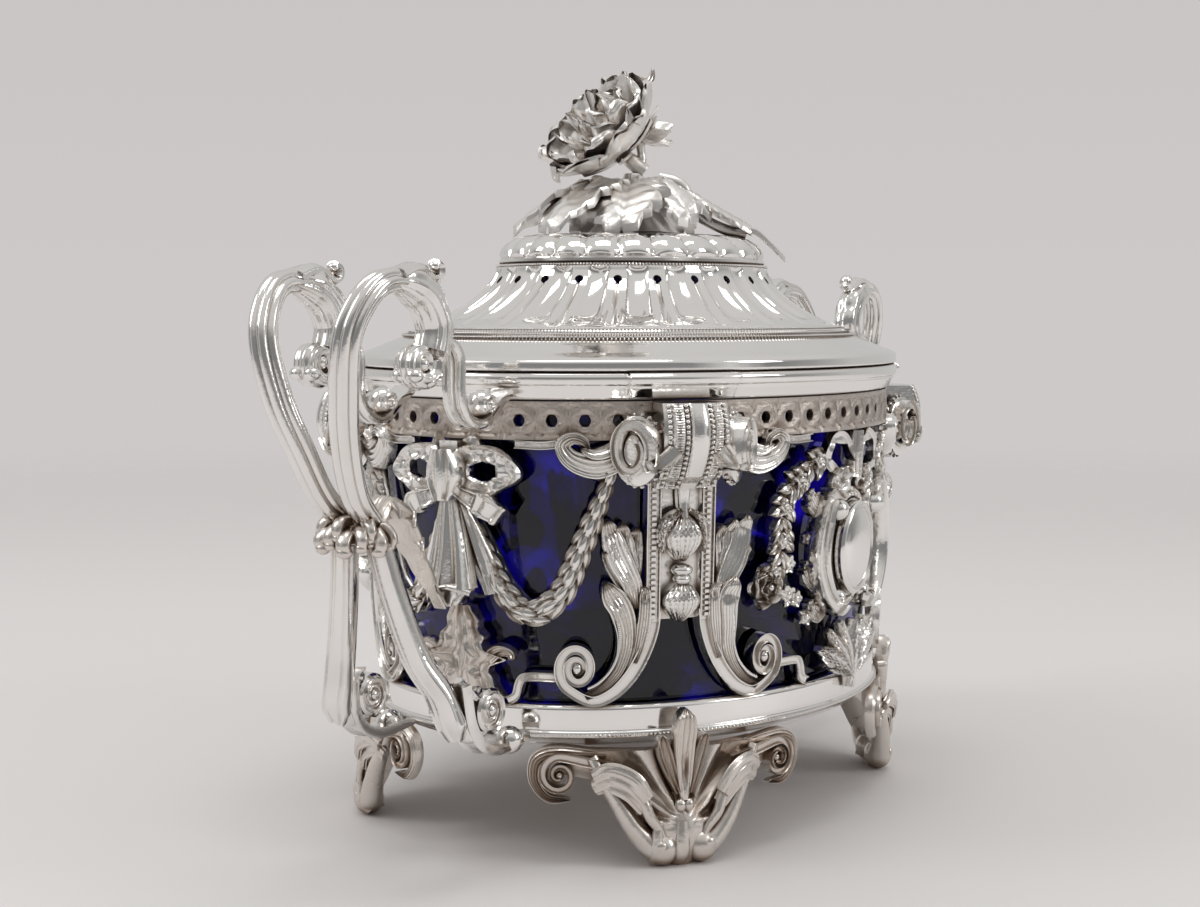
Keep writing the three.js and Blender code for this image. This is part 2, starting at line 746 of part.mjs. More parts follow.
// Palmette under the medallion, hanging over the base ring
function palmette(start) {
  const map = onWall(start);
  const foot = baseTop - palmetteDrop;
  const lift = baseProud + clearance + 0.1;
  const middle = strap(map, [
    [0, foot, lift],
    [0, baseTop + palmetteHeight, lift],
  ], leafWidth(1.2, 4.4, 1.6), even(1.8), 3, lobeSection);
  const sides = [-1, 1].map((side) => strap(map, [
    [0, foot + 2.6, lift],
    [side * palmetteHalfWidth * 0.5, baseTop + palmetteHeight * 0.3, lift],
    [side * palmetteHalfWidth, baseTop + palmetteHeight * 0.6, lift],
  ], leafWidth(1.6, 6, 1.4), even(2), 3, lobeSection));
  return geometryOf(join([middle, ...sides]));
}

// Cabriole foot, broad under the base and narrow at the toe, with a leaf over the base ring
// and an apron scroll to each side
function foot({ at }) {
  const map = onWall(at);
  const level = wallThickness + wallTaper;
  const top = footHeight;
  const line = new THREE.CatmullRomCurve3([
    new THREE.Vector3(0, top, kneeReach),
    new THREE.Vector3(0, top * 0.7, kneeReach),
    new THREE.Vector3(0, top * 0.45, kneeReach + 1.8),
    new THREE.Vector3(0, top * 0.25, toeReach - 1.6),
    new THREE.Vector3(0, 2.8, toeReach),
    new THREE.Vector3(0, -0.6, toeReach),
  ]);
  const width = (z) => (z > top * 0.42
    ? THREE.MathUtils.lerp(ankleWidth, kneeWidth, Math.max(0, (z / top - 0.42) / 0.58))
    : THREE.MathUtils.lerp(toeWidth, ankleWidth, z / top / 0.42));
  const shell = [[1, -1], [0.62, 0.35], [0.2, 1], [-0.2, 1], [-0.62, 0.35], [-1, -1], [0, -0.7]];
  const leg = sweep(shell, 6, (t, across, out) => {
    const point = line.getPointAt(t);
    const along = line.getTangentAt(t);
    const depth = THREE.MathUtils.lerp(toeDepth, kneeDepth, Math.min(1, (2 * point.y) / top));
    const z = THREE.MathUtils.clamp(point.y + out * depth * along.z, 0, top);
    return map((across * width(point.y)) / 2, z, level + point.z - out * depth * along.y);
  });
  const leaf = strap(map, [
    [0, baseTop + footLeafRise - baseHeight, footLeafReach],
    [0, baseBottom, footLeafReach],
    [0, top - 9, footLeafReach - 2],
  ], leafWidth(1.6, 7, 8), even(3), 3, lobeSection);
  const aprons = [-1, 1].map((side) => {
    const radius = apronScrollRadius;
    const centre = [apronLength, top - radius - 1.4];
    const curl = spiralPoints(centre, [radius, radius], Math.PI / 2, 0.9, 0.4, 6, 1.6, -1);
    const start = [[kneeWidth / 2 - 7, top - 3.6, 1.4], [kneeWidth / 2, top - 2.2, 1.6]];
    const mirror = (u, z, w) => map(side * u, z, w);
    return strap(mirror, [...start, ...curl], taper(3.4, 1.5), taper(3, 2.4), 7, lobeSection);
  });
  return geometryOf(join([leg, leaf, ...aprons]));
}

// Handles stand in their own frame: reach out from the middle, spread to the side, height
function atHandle(end, side) {
  return (reach, spread, z) => new THREE.Vector3(end * reach, side * spread, z);
}

// A bar through points in the handle's frame, its section turned with the bend
function handleBar(place, points, section, width, thickness, steps, limit = (point) => point) {
  const line = new THREE.CatmullRomCurve3(points.map((point) => new THREE.Vector3(...point)));
  return sweep(section, steps, (t, across, out) => {
    const along = line.getTangentAt(t);
    const sideways = new THREE.Vector3(0, 1, 0).addScaledVector(along, -along.y).normalize();
    const outward = new THREE.Vector3().crossVectors(along, sideways);
    const point = line.getPointAt(t);
    point.addScaledVector(sideways, (across * width(t)) / 2);
    point.addScaledVector(outward, (out * thickness(t)) / 2);
    const { x, y, z } = limit(point);
    return place(x, y, z);
  });
}

// Upper arm of a handle, three reeds wide, with its scroll end and the bracket to the rim
function handleArm(end, side) {
  const place = atHandle(end, side);
  const seat = collarHeight + collarThickness + clearance;
  const split = (point) => {
    point.y = Math.max(point.y, clearance / 2);
    point.z = Math.max(point.z, seat);
    return point;
  };
  const reeds = [[-1, -0.2], [-0.62, 0.9], [0, 0.5], [0.62, 0.9], [1, -0.2], [0, -0.9]];
  const loop = handleBar(place, [
    [collarReach - 0.4, 2.9, seat - 0.5],
    [collarReach + 5.6, 4, seat + 5],
    [THREE.MathUtils.lerp(collarReach, armBulgeReach, 0.68), 5.4, seat + 14],
    [armBulgeReach - 1.2, 8, armBulgeHeight - 8],
    [armBulgeReach, 10.4, armBulgeHeight + 5],
    [armTopReach + 5.4, 12, armTopHeight - 1.6],
    [armTopReach, armSpread, armTopHeight],
    [armInnerReach + 4, armSpread, armTopHeight - 2.6],
    [armInnerReach, armSpread, armTopHeight - 8.6],
    [armInnerReach + 2.2, armSpread, armScrollHeight + 3],
    [armInnerReach + 5.6, armSpread, armScrollHeight],
  ], reeds, even(armWidth), even(armThickness), 13, split);
  const ball = new THREE.SphereGeometry(armScrollRadius, 5, 3);
  const scroll = reshape(ball, (x, y, z) => (
    place(armInnerReach + 6 + x, armSpread + 0.85 * z, armScrollHeight + y)
  ));
  const flat = [[1, -1], [1, 1], [-1, 1], [-1, -1]];
  const hook = Array.from({ length: 4 }, (_, i) => {
    const angle = (i / 3) * 0.8 * Math.PI;
    const [out, up] = [Math.cos(angle), -Math.sin(angle)].map((part) => part * bracketRadius);
    return [bracketReach + out, armSpread, bracketHeight + up];
  });
  const bracket = handleBar(place, [
    [armInnerReach + 0.5, armSpread, armScrollHeight + 4],
    [bracketReach + bracketRadius + 0.8, armSpread, armScrollHeight + 2.4],
    ...hook,
    [rimReach(armSpread) + clearance + 0.6, armSpread, bracketHeight - 0.4],
  ], flat, even(4.6), even(1.6), 7);
  const knobBall = new THREE.SphereGeometry(bracketBallRadius, 5, 3);
  const knob = reshape(knobBall, (x, y, z) => (
    place(bracketReach - 2.8 + x, armSpread + z, bracketHeight - 2.6 + y)
  ));
  return geometryOf(join([loop, scroll, bracket, knob]));
}

// Lower leg of a handle, from the collar down to the base ring
function handleLeg(end, side) {
  const place = atHandle(end, side);
  const seat = collarHeight - clearance;
  const ballReach = baseReach(handleLegSpread - 2) + clearance + handleBallRadius;
  const split = (point) => {
    point.y = Math.max(point.y, clearance / 2);
    point.z = Math.min(point.z, seat);
    return point;
  };
  const flat = [[1, -0.7], [0.7, 1], [-0.7, 1], [-1, -0.7]];
  const legWidth = (t) => handleLegWidth - 1.6 + 2 * t - 5.4 * Math.max(0, (t - 0.7) / 0.3);
  const leg = handleBar(place, [
    [collarReach - 1.6, 4.4, seat + 0.5],
    [collarReach - 3.8, 6.4, seat - 12],
    [collarReach - 8, 9.6, seat - 24],
    [handleLegReach, handleLegSpread - 1.4, handleVoluteHeight],
    [handleLegReach - 4.4, handleLegSpread, baseBottom + 4],
    [handleVoluteReach, handleLegSpread, baseBottom + 2.8],
    [ballReach, handleLegSpread, baseBottom + 2.8],
  ], flat, legWidth, even(handleLegThickness), 9, split);
  const ballEnd = reshape(new THREE.SphereGeometry(handleBallRadius, 5, 3), (x, y, z) => (
    place(ballReach + x, handleLegSpread + z, baseBottom + 3 + y)
  ));
  const drum = new THREE.CylinderGeometry(handleVoluteRadius, handleVoluteRadius, handleLegWidth - 2, 8);
  const volute = reshape(drum, (x, y, z) => (
    place(handleVoluteReach + x, handleLegSpread + y, handleVoluteHeight + z)
  ));
  const stemLine = [
    [handleLegReach - 2.6, handleLegSpread, baseBottom + 4],
    [handleVoluteReach + 1, handleLegSpread, handleVoluteHeight - handleVoluteRadius + 0.8],
  ];
  const stem = handleBar(place, stemLine, flat, even(4), even(handleLegThickness), 1);
  return geometryOf(join([leg, ballEnd, volute, stem]));
}

// How far out an oval beside the wall's lies at a distance to the side
function ovalReach(proud, spread) {
  return (wallHalfLength + proud) * Math.sqrt(1 - (spread / (wallHalfWidth + proud)) ** 2);
}

const baseReach = (spread) => ovalReach(-wallThickness - wallTaper + baseProud + 0.4, spread);
const rimReach = (spread) => ovalReach(rimProud, spread);

// Collar that binds the arms and legs, with the leaf strut that reaches in to the tassel
function handleCollar(end) {
  const place = atHandle(end, 1);
  const ring = new THREE.CylinderGeometry(collarRadius, collarRadius, collarThickness, 10);
  const middle = collarHeight + collarThickness / 2;
  const band = reshape(ring, (x, y, z) => place(collarReach + x * 0.9, z * 1.25, middle + y));
  const tasselFace = wallHalfLength - wallThickness - wallTaper + tasselThickness;
  const leafBack = trapezoid.map(([across, out]) => [across, 1 - 2 * out]);
  const strut = handleBar(place, [
    [collarReach - 2, 0, middle],
    [collarReach - 7, 0, middle + 5.6],
    [collarReach - 13, 0, middle + 3.4],
    [collarReach - 17, 0, middle - 3.4],
    [tasselFace + 2.4, 0, friezeBottom - bowKnotDrop - tasselLength + 4],
  ], leafBack, leafWidth(4, 7, 3), taper(3, 2), 8);
  return geometryOf(join([band, strut]));
}

function glassLiner() {
  const outer = (z) => wallOffset(z) - linerPlay;
  const low = linerBottom + 4;
  return ovalShell([
    [null, linerBottom],
    [outer(low) - 4.2, linerBottom],
    [outer(low) - 0.8, linerBottom + 1.7],
    [outer(low), low],
    [outer(friezeBottom), friezeBottom],
    [outer(linerTop), linerTop],
    [outer(linerTop) - glassThickness, linerTop],
    [outer(friezeBottom) - glassThickness, friezeBottom],
    [outer(low) - glassThickness - 0.6, low + 1],
    [outer(low) - glassThickness - 5, linerBottom + glassThickness],
    [null, linerBottom + glassThickness],
  ], linerSegments, around(linerSegments));
}

// Lid pieces are ovals of the rim's proportions, given by their reach along the long axis
const lidSegments = 2 * fluteCount;
const lidAngle = (step, segments) => (step / segments) * 2 * Math.PI;
function lidPoint(angle, reach, z) {
  const slender = rimHalfWidth / rimHalfLength;
  return new THREE.Vector3(reach * Math.cos(angle), reach * slender * Math.sin(angle), z);
}

function lidShell() {
  const edge = rimHalfLength - lidEdgeInset;
  const stepZ = lidBottom + lidStepRise;
  const topZ = lidBottom + lidBandTopRise;
  const inner = rimHalfLength - lidSeatWidth;
  const flutes = [
    [lidStepReach - 6.5, stepZ + 1.4],
    [lidStepReach - 12.5, stepZ + 4.8],
    [lidBandTopReach + 1.3, topZ - 3.2],
  ];
  const profile = [
    [inner, lidBottom],
    [edge, lidBottom],
    [edge, lidBottom + lidEdgeHeight],
    [edge - 6.6, lidBottom + lidEdgeHeight + 2.7],
    [lidStepReach, stepZ],
    ...flutes,
    [lidBandTopReach, topZ],
    [lidBandTopReach - 3.6, topZ],
    [lidStepReach - 13.8, stepZ + 3.8],
    [inner, lidBottom + lidWall],
    [inner, lidBottom],
  ].map(([reach, z]) => [reach - spindle / 2, z]);
  return ovalShell(profile, lidSegments, (step, offset, z) => {
    const reach = offset + spindle / 2;
    const ribbed = step % 2 === 0 && flutes.some(([at]) => Math.abs(at - reach) < 0.01);
    const rise = ribbed ? fluteRise : 0;
    return lidPoint(lidAngle(step, lidSegments), reach + rise * 0.6, z + rise * 0.8);
  });
}

// Upright ring under the lid, which keeps it on the rim
function lidBezel() {
  const outer = -wallThickness - bezelPlay;
  const inner = outer - bezelThickness;
  const top = lidBottom - clearance;
  const foot = lidBottom - bezelDepth - clearance;
  return ovalShell([
    [inner, foot],
    [outer, foot],
    [outer, top],
    [inner, top],
    [inner, foot],
  ], ringSegments, around(ringSegments));
}

function lidDome() {
  const edge = lidBandTopReach - 0.6;
  const segments = 2 * gadroonCount;
  const profile = [
    [null, domeTop],
    [edge * 0.5, domeTop - 0.6],
    [edge * 0.86, domeBottom + 5.6],
    [edge * 0.97, domeBottom + 2.8],
    [edge, domeBottom],
    [edge - 3.2, domeBottom],
    [edge * 0.8, domeInside - 1],
    [null, domeInside],
  ].map(([reach, z]) => [reach === null ? null : reach - spindle / 2, z]);
  const shell = ovalShell(profile, segments, (step, offset, z) => {
    const reach = offset + spindle / 2;
    const lobed = step % 2 === 0 && reach > edge * 0.85 && z > domeBottom + 2;
    const lobe = lobed ? gadroonDepth : 0;
    return lidPoint(lidAngle(step, segments), reach - lobe, z - lobe * 0.5);
  });
  const drill = new THREE.CylinderGeometry(studRadius + clearance, studRadius + clearance, 4 * domeRise, 8);
  const hole = reshape(drill, (x, y, z) => new THREE.Vector3(x, z, domeTop + y));
  return geometryOf(solid(shell).subtract(solid(hole)));
}

// The finial's own frame: across the picture plane of its lean, towards the front, up
function atFinial(across, front, z) {
  const x = across * Math.cos(finialTurn) + front * Math.sin(finialTurn);
  const y = across * Math.sin(finialTurn) - front * Math.cos(finialTurn);
  return new THREE.Vector3(x, y, z);
}

// One leaf from the boss outwards over the dome
function finialLeaf({ turn, length, droop, width }) {
  const direction = turn * 2 * Math.PI;
  const top = bossTop - 1.5;
  const line = new THREE.CatmullRomCurve3([
    new THREE.Vector3(2, top - 1, 0),
    new THREE.Vector3(length * 0.42, top - droop * 0.16, 0),
    new THREE.Vector3(length * 0.76, top - droop * 0.56, 0),
    new THREE.Vector3(length, top - droop, 0),
  ]);
  const widthAt = leafWidth(4, width, 2);
  return sweep(lobeSection, 3, (t, across, out) => {
    const point = line.getPointAt(t);
    const side = (across * widthAt(t)) / 2;
    const z = point.y + 1.6 * out - Math.abs(across) * 0.8;
    return atFinial(
      point.x * Math.cos(direction) - side * Math.sin(direction),
      point.x * Math.sin(direction) + side * Math.cos(direction),
      z,
    );
  });
}

function finialLeaves() {
  const profile = [
    [0, 0],
    [bossRadius, 0],
    [bossRadius * 0.9, bossHeight * 0.2],
    [bossRadius * 0.6, bossHeight * 0.64],
    [bossRadius * 0.3, bossHeight],
    [0, bossHeight],
  ];
  const core = reshape(lathe(profile, 8), (x, y, z) => new THREE.Vector3(x, z, bossBottom + y));
  const rod = new THREE.CylinderGeometry(studRadius, studRadius, studLength, 8);
  const studMiddle = bossBottom + 0.5 - studLength / 2;
  const stud = reshape(rod, (x, y, z) => new THREE.Vector3(x, z, studMiddle + y));
  const leaves = finialLeafSizes.map(finialLeaf);
  return geometryOf(join([core, stud, ...leaves]));
}

function finialNut() {
  const seat = domeInside - clearance;
  const shape = outline(Array.from({ length: 6 }, (_, i) => {
    const angle = (i / 6) * 2 * Math.PI;
    return [nutRadius * Math.cos(angle), nutRadius * Math.sin(angle)];
  }));
  shape.holes.push(new THREE.Path().absarc(0, 0, studRadius + clearance, 0, 2 * Math.PI, true));
  const nut = new THREE.ExtrudeGeometry(shape, { depth: nutHeight, bevelEnabled: false, curveSegments: 8 });
  return reshape(nut, (x, y, z) => new THREE.Vector3(x, y, seat - nutHeight + z));
}

// The rose's own frame: out along its axis from its foot, which leans to one side
function atRose(x, along, z) {
  const across = -roseFootOut - along * Math.cos(roseTilt) + x * Math.sin(roseTilt);
  const height = bossTop + roseFootRise + along * Math.sin(roseTilt) + x * Math.cos(roseTilt);
  return atFinial(across, z, height);
}

function finialRose() {
  const r = roseHalfWidth;
  const d = roseDepth;
  const profile = [
    [0, 0], [r * 0.35, 0.4], [r * 0.8, d * 0.26], [r, d * 0.62], [r * 1.02, d * 0.92], [r * 0.9, d],
    [r * 0.76, d * 0.62], [r * 0.6, d * 0.6], [r * 0.64, d * 0.98], [r * 0.5, d], [r * 0.38, d * 0.66],
    [r * 0.24, d * 0.96], [0, d * 0.9],
  ];
  return reshape(lathe(profile, 12), (x, y, z) => {
    const angle = Math.atan2(x, z);
    const radius = Math.hypot(x, z);
    const wave = 1 + 0.07 * Math.cos(5 * angle + 2 * radius) * (y / d);
    return atRose(x * wave, y + 0.6 * Math.cos(3 * angle) * (radius / r), z * wave);
  });
}

// Curved stalk from the boss up to the back of the rose, with the side stalk of the bud
function finialStem() {
  const base = atRose(0, -clearance, 0);
  const low = bossTop + clearance;
  const back = atRose(0, -2.6, 0);
  const line = new THREE.CatmullRomCurve3([
    atFinial(1.4, 0, low),
    atFinial(0.9, 0, low + 1.4),
    back,
    base,
  ]);
  const ring = Array.from({ length: 5 }, (_, i) => {
    const angle = (i / 5) * 2 * Math.PI;
    return [Math.cos(angle), Math.sin(angle)];
  });
  const stalkAlong = (curve, from, to) => sweep(ring, 5, (t, across, out) => {
    const radius = THREE.MathUtils.lerp(from, to, t);
    const point = curve.getPointAt(t);
    const along = curve.getTangentAt(t);
    const sideways = atFinial(0, 1, 0);
    const outward = new THREE.Vector3().crossVectors(along, sideways).normalize();
    point.addScaledVector(sideways, across * radius).addScaledVector(outward, out * radius);
    point.z = Math.max(point.z, low);
    return point;
  });
  const budFoot = new THREE.CatmullRomCurve3([
    atFinial(1.4, 0, low + 0.6),
    atFinial(2.2, -1, low + 2.6),
    atFinial(1.6, -1, bossTop + budFootRise - clearance),
  ]);
  return geometryOf(join([stalkAlong(line, 2.4, 1.6), stalkAlong(budFoot, 1.3, 1)]));
}

// Half-open bud with its sepals, lying over to the side away from the rose
function finialBud() {
  const profile = [
    [0, 0],
    [budRadius * 0.6, 0.3],
    [budRadius, budLength * 0.3],
    [budRadius * 0.6, budLength * 0.62],
    [0, budLength],
  ];
  const foot = bossTop + budFootRise + budRadius * 0.6 * Math.sin(budLean);
  return reshape(lathe(profile, 8), (x, y, z) => {
    const across = 1.6 + y * Math.sin(budLean) + x * Math.cos(budLean);
    const height = foot + y * Math.cos(budLean) - x * Math.sin(budLean);
    return atFinial(across, -1 + z, height);
  });
}

const silver = { color: 0xd9d6d2, metalness: 1, roughness: 0.22 };
const wornSilver = { color: 0xc9c2ba, metalness: 1, roughness: 0.32 };
const blueGlass = { color: 0x1a1a6e, metalness: 0, roughness: 0.05, transparent: true, opacity: 0.6 };

const bowl = new THREE.Group();
function add(name, geometry, finish) {
  const mesh = new THREE.Mesh(geometry, new THREE.MeshStandardMaterial(finish));
  mesh.name = name;
  bowl.add(mesh);
}

add('base_rim', baseRim(), silver);
add('floor_plate', floorPlate(), wornSilver);
add('frieze_band', friezeBand(), wornSilver);
add('rim_mount', rimMount(), silver);
for (const spot of pilasterSpots) {
  add(`pilaster_${spot.name}`, pilaster(spot), wornSilver);
  add(`scroll_leg_${spot.name}_end`, scrollLeg(spot, spot.toEnd, legLobeOutEnd), wornSilver);
  add(`scroll_leg_${spot.name}_side`, scrollLeg(spot, -spot.toEnd, legLobeOutSide), wornSilver);
  add(`foot_${spot.name}`, foot(spot), silver);
}
for (const face of ['left', 'right']) {
  const end = face === 'left' ? -1 : 1;
  add(`bow_${face}`, endBow(faceStart[face]), wornSilver);
  add(`swag_${face}_a`, swag(faceStart[face], -1), wornSilver);
  add(`swag_${face}_b`, swag(faceStart[face], 1), wornSilver);
  add(`leaf_mask_${face}`, endLeaf(faceStart[face]), wornSilver);
  add(`handle_collar_${face}`, handleCollar(end), silver);
  for (const side of [-1, 1]) {
    const place = side < 0 ? 'front' : 'back';
    add(`handle_arm_${face}_${place}`, handleArm(end, side), silver);
    add(`handle_leg_${face}_${place}`, handleLeg(end, side), silver);
  }
}
for (const face of ['front', 'back']) {
  add(`medallion_${face}`, medallion(faceStart[face]), silver);
  add(`cartouche_${face}`, cartouche(faceStart[face]), wornSilver);
  add(`ribbon_${face}`, sideBow(faceStart[face]), wornSilver);
  add(`palmette_${face}`, palmette(faceStart[face]), wornSilver);
  add(`garland_${face}_a`, garland(faceStart[face], -1), wornSilver);
  add(`garland_${face}_b`, garland(faceStart[face], 1), wornSilver);
}
add('glass_liner', glassLiner(), blueGlass);
add('lid_shell', lidShell(), silver);
add('lid_bezel', lidBezel(), wornSilver);
add('lid_dome', lidDome(), silver);
add('finial_leaves', finialLeaves(), wornSilver);
add('finial_nut', finialNut(), wornSilver);
add('finial_stem', finialStem(), wornSilver);
add('finial_rose', finialRose(), silver);
add('finial_bud', finialBud(), wornSilver);

export default bowl;
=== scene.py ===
import bisect, json
from math import atan2, cos, exp, hypot, pi, radians, sin, sqrt
import bpy, bmesh
from mathutils import Matrix, Vector

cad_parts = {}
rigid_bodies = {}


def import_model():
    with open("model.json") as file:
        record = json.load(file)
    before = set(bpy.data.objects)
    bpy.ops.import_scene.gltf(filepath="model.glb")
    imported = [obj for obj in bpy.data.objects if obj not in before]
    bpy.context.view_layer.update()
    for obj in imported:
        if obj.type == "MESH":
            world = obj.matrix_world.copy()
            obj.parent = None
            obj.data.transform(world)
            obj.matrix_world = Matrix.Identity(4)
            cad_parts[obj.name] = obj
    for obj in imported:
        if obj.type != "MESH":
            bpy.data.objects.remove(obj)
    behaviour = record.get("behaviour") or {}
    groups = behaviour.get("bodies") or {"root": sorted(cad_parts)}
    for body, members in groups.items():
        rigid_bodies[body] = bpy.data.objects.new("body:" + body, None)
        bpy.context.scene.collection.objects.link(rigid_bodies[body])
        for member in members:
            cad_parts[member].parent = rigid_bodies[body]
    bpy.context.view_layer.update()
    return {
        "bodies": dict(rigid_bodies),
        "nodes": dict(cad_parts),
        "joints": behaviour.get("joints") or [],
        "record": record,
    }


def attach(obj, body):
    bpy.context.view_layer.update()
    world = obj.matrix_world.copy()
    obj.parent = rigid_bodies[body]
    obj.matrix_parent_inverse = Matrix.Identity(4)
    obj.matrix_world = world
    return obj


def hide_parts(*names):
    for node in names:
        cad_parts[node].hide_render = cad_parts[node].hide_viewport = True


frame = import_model()
bpy.ops.object.select_all(action="DESELECT")
print("frame loaded")

mm = 0.001  # everything below is drawn in millimetres and scaled once


# Finishes

def addNode(material, kind, **inputs):
    node = material.node_tree.nodes.new(kind)
    for name, value in inputs.items():
        node.inputs[name.replace("_", " ")].default_value = value
    return node


def joinSockets(material, output, target):
    material.node_tree.links.new(output, target)


def rampNode(material, stops):
    node = material.node_tree.nodes.new("ShaderNodeValToRGB")
    ramp = node.color_ramp
    ramp.elements[0].position, ramp.elements[0].color = stops[0][0], (*stops[0][1], 1)
    ramp.elements[1].position, ramp.elements[1].color = stops[1][0], (*stops[1][1], 1)
    for place, color in stops[2:]:
        ramp.elements.new(place).color = (*color, 1)
    return node


def silverFinish(name, look):
    material = bpy.data.materials.new(name)
    material.use_nodes = True
    shader = material.node_tree.nodes["Principled BSDF"]
    shader.inputs["Metallic"].default_value = 1.0
    place = addNode(material, "ShaderNodeTexCoord")
    clouds = addNode(material, "ShaderNodeTexNoise", Scale=look["cloudScale"], Detail=5.0, Roughness=0.6)
    joinSockets(material, place.outputs["Object"], clouds.inputs["Vector"])
    # ambient occlusion darkens the base colour towards the brown colour: real patina in fine crevices, and painted
    # shade in deeper hollows, inside loops and between parts
    recess = addNode(material, "ShaderNodeAmbientOcclusion", Distance=look["recessDepth"])
    recess.samples = 6
    depth = rampNode(material, [(look["recessStart"], (1, 1, 1)), (look["recessEnd"], (0, 0, 0))])
    joinSockets(material, recess.outputs["AO"], depth.inputs["Fac"])
    patchy = addNode(material, "ShaderNodeMath")
    patchy.operation = "MULTIPLY_ADD"
    patchy.inputs[1].default_value = look["patchiness"]
    patchy.inputs[2].default_value = -look["patchiness"] / 2 + look["tarnishAll"]
    joinSockets(material, clouds.outputs["Fac"], patchy.inputs[0])
    total = addNode(material, "ShaderNodeMath")
    total.operation = "ADD"
    total.use_clamp = True
    joinSockets(material, depth.outputs["Color"], total.inputs[0])
    joinSockets(material, patchy.outputs["Value"], total.inputs[1])
    # the second colour is random tarnish and patina, and painted shade wherever the occlusion drives it
    tint = addNode(material, "ShaderNodeMix")
    tint.data_type = "RGBA"
    tint.inputs["A"].default_value = (*look["bright"], 1)
    tint.inputs["B"].default_value = (*look["tarnishAndShade"], 1)
    joinSockets(material, total.outputs["Value"], tint.inputs["Factor"])
    joinSockets(material, tint.outputs["Result"], shader.inputs["Base Color"])
    gloss = addNode(material, "ShaderNodeMapRange", To_Min=look["polish"], To_Max=look["dull"])
    joinSockets(material, total.outputs["Value"], gloss.inputs["Value"])
    joinSockets(material, gloss.outputs["Result"], shader.inputs["Roughness"])
    grain = addNode(material, "ShaderNodeTexNoise", Scale=look["grainScale"], Detail=3.0)
    joinSockets(material, place.outputs["Object"], grain.inputs["Vector"])
    bump = addNode(material, "ShaderNodeBump", Strength=look["grain"], Distance=0.0003)
    joinSockets(material, grain.outputs["Fac"], bump.inputs["Height"])
    joinSockets(material, bump.outputs["Normal"], shader.inputs["Normal"])
    return material


polishedSilver = silverFinish("polishedSilver", {
    "bright": (0.93, 0.915, 0.895), "tarnishAndShade": (0.36, 0.295, 0.245), "polish": 0.08, "dull": 0.38,
    "cloudScale": 70.0, "patchiness": 0.10, "tarnishAll": 0.02, "recessDepth": 0.0022,
    "recessStart": 0.30, "recessEnd": 0.85, "grainScale": 260.0, "grain": 0.12})
castSilver = silverFinish("castSilver", {
    "bright": (0.90, 0.885, 0.86), "tarnishAndShade": (0.33, 0.265, 0.215), "polish": 0.14, "dull": 0.42,
    "cloudScale": 160.0, "patchiness": 0.16, "tarnishAll": 0.0, "recessDepth": 0.0022,
    "recessStart": 0.22, "recessEnd": 0.80, "grainScale": 900.0, "grain": 0.22})
# the 9 mm recess reach paints brown shade over the inner sides of the handle loops, on top of patina in the grooves
# of the reeds
handleSilver = silverFinish("handleSilver", {
    "bright": (0.91, 0.895, 0.875), "tarnishAndShade": (0.36, 0.29, 0.235), "polish": 0.11, "dull": 0.40,
    "cloudScale": 90.0, "patchiness": 0.30, "tarnishAll": 0.06, "recessDepth": 0.0090,
    "recessStart": 0.10, "recessEnd": 0.62, "grainScale": 900.0, "grain": 0.14})
agedSilver = silverFinish("agedSilver", {
    "bright": (0.87, 0.835, 0.795), "tarnishAndShade": (0.36, 0.27, 0.205), "polish": 0.22, "dull": 0.42,
    "cloudScale": 120.0, "patchiness": 0.36, "tarnishAll": 0.24, "recessDepth": 0.0045,
    "recessStart": 0.16, "recessEnd": 0.74, "grainScale": 700.0, "grain": 0.30})
satinSilver = silverFinish("satinSilver", {
    "bright": (0.90, 0.875, 0.845), "tarnishAndShade": (0.34, 0.27, 0.22), "polish": 0.34, "dull": 0.45,
    "cloudScale": 140.0, "patchiness": 0.20, "tarnishAll": 0.0, "recessDepth": 0.0030,
    "recessStart": 0.20, "recessEnd": 0.80, "grainScale": 800.0, "grain": 0.22})
stippledSilver = silverFinish("stippledSilver", {
    "bright": (0.84, 0.80, 0.76), "tarnishAndShade": (0.34, 0.27, 0.22), "polish": 0.26, "dull": 0.46,
    "cloudScale": 120.0, "patchiness": 0.28, "tarnishAll": 0.44, "recessDepth": 0.0030,
    "recessStart": 0.30, "recessEnd": 0.95, "grainScale": 2600.0, "grain": 0.5})


def glassFinish(name, look):
    material = bpy.data.materials.new(name)
    material.use_nodes = True
    shader = material.node_tree.nodes["Principled BSDF"]
    shader.inputs["Transmission Weight"].default_value = 1.0
    shader.inputs["IOR"].default_value = 1.5
    place = addNode(material, "ShaderNodeTexCoord")
    streaks = addNode(material, "ShaderNodeTexNoise", Scale=look["streakScale"], Detail=3.0)
    joinSockets(material, place.outputs["Object"], streaks.inputs["Vector"])
    color = rampNode(material, [(look["deepTo"], look["deep"]), (look["lightFrom"], look["light"])])
    joinSockets(material, streaks.outputs["Fac"], color.inputs["Fac"])
    joinSockets(material, color.outputs["Color"], shader.inputs["Base Color"])
    gloss = addNode(material, "ShaderNodeMapRange", To_Min=look["polish"], To_Max=look["dull"])
    joinSockets(material, streaks.outputs["Fac"], gloss.inputs["Value"])
    joinSockets(material, gloss.outputs["Result"], shader.inputs["Roughness"])
    wave = addNode(material, "ShaderNodeBump", Strength=0.25, Distance=0.0005)
    joinSockets(material, streaks.outputs["Fac"], wave.inputs["Height"])
    joinSockets(material, wave.outputs["Normal"], shader.inputs["Normal"])
    return material


cobaltGlass = glassFinish("cobaltGlass", {
    "deep": (0.012, 0.010, 0.09), "light": (0.13, 0.09, 0.80), "deepTo": 0.47, "lightFrom": 0.60,
    "streakScale": 52.0, "polish": 0.02, "dull": 0.07})
print("finishes made")


# Camera, floor, light

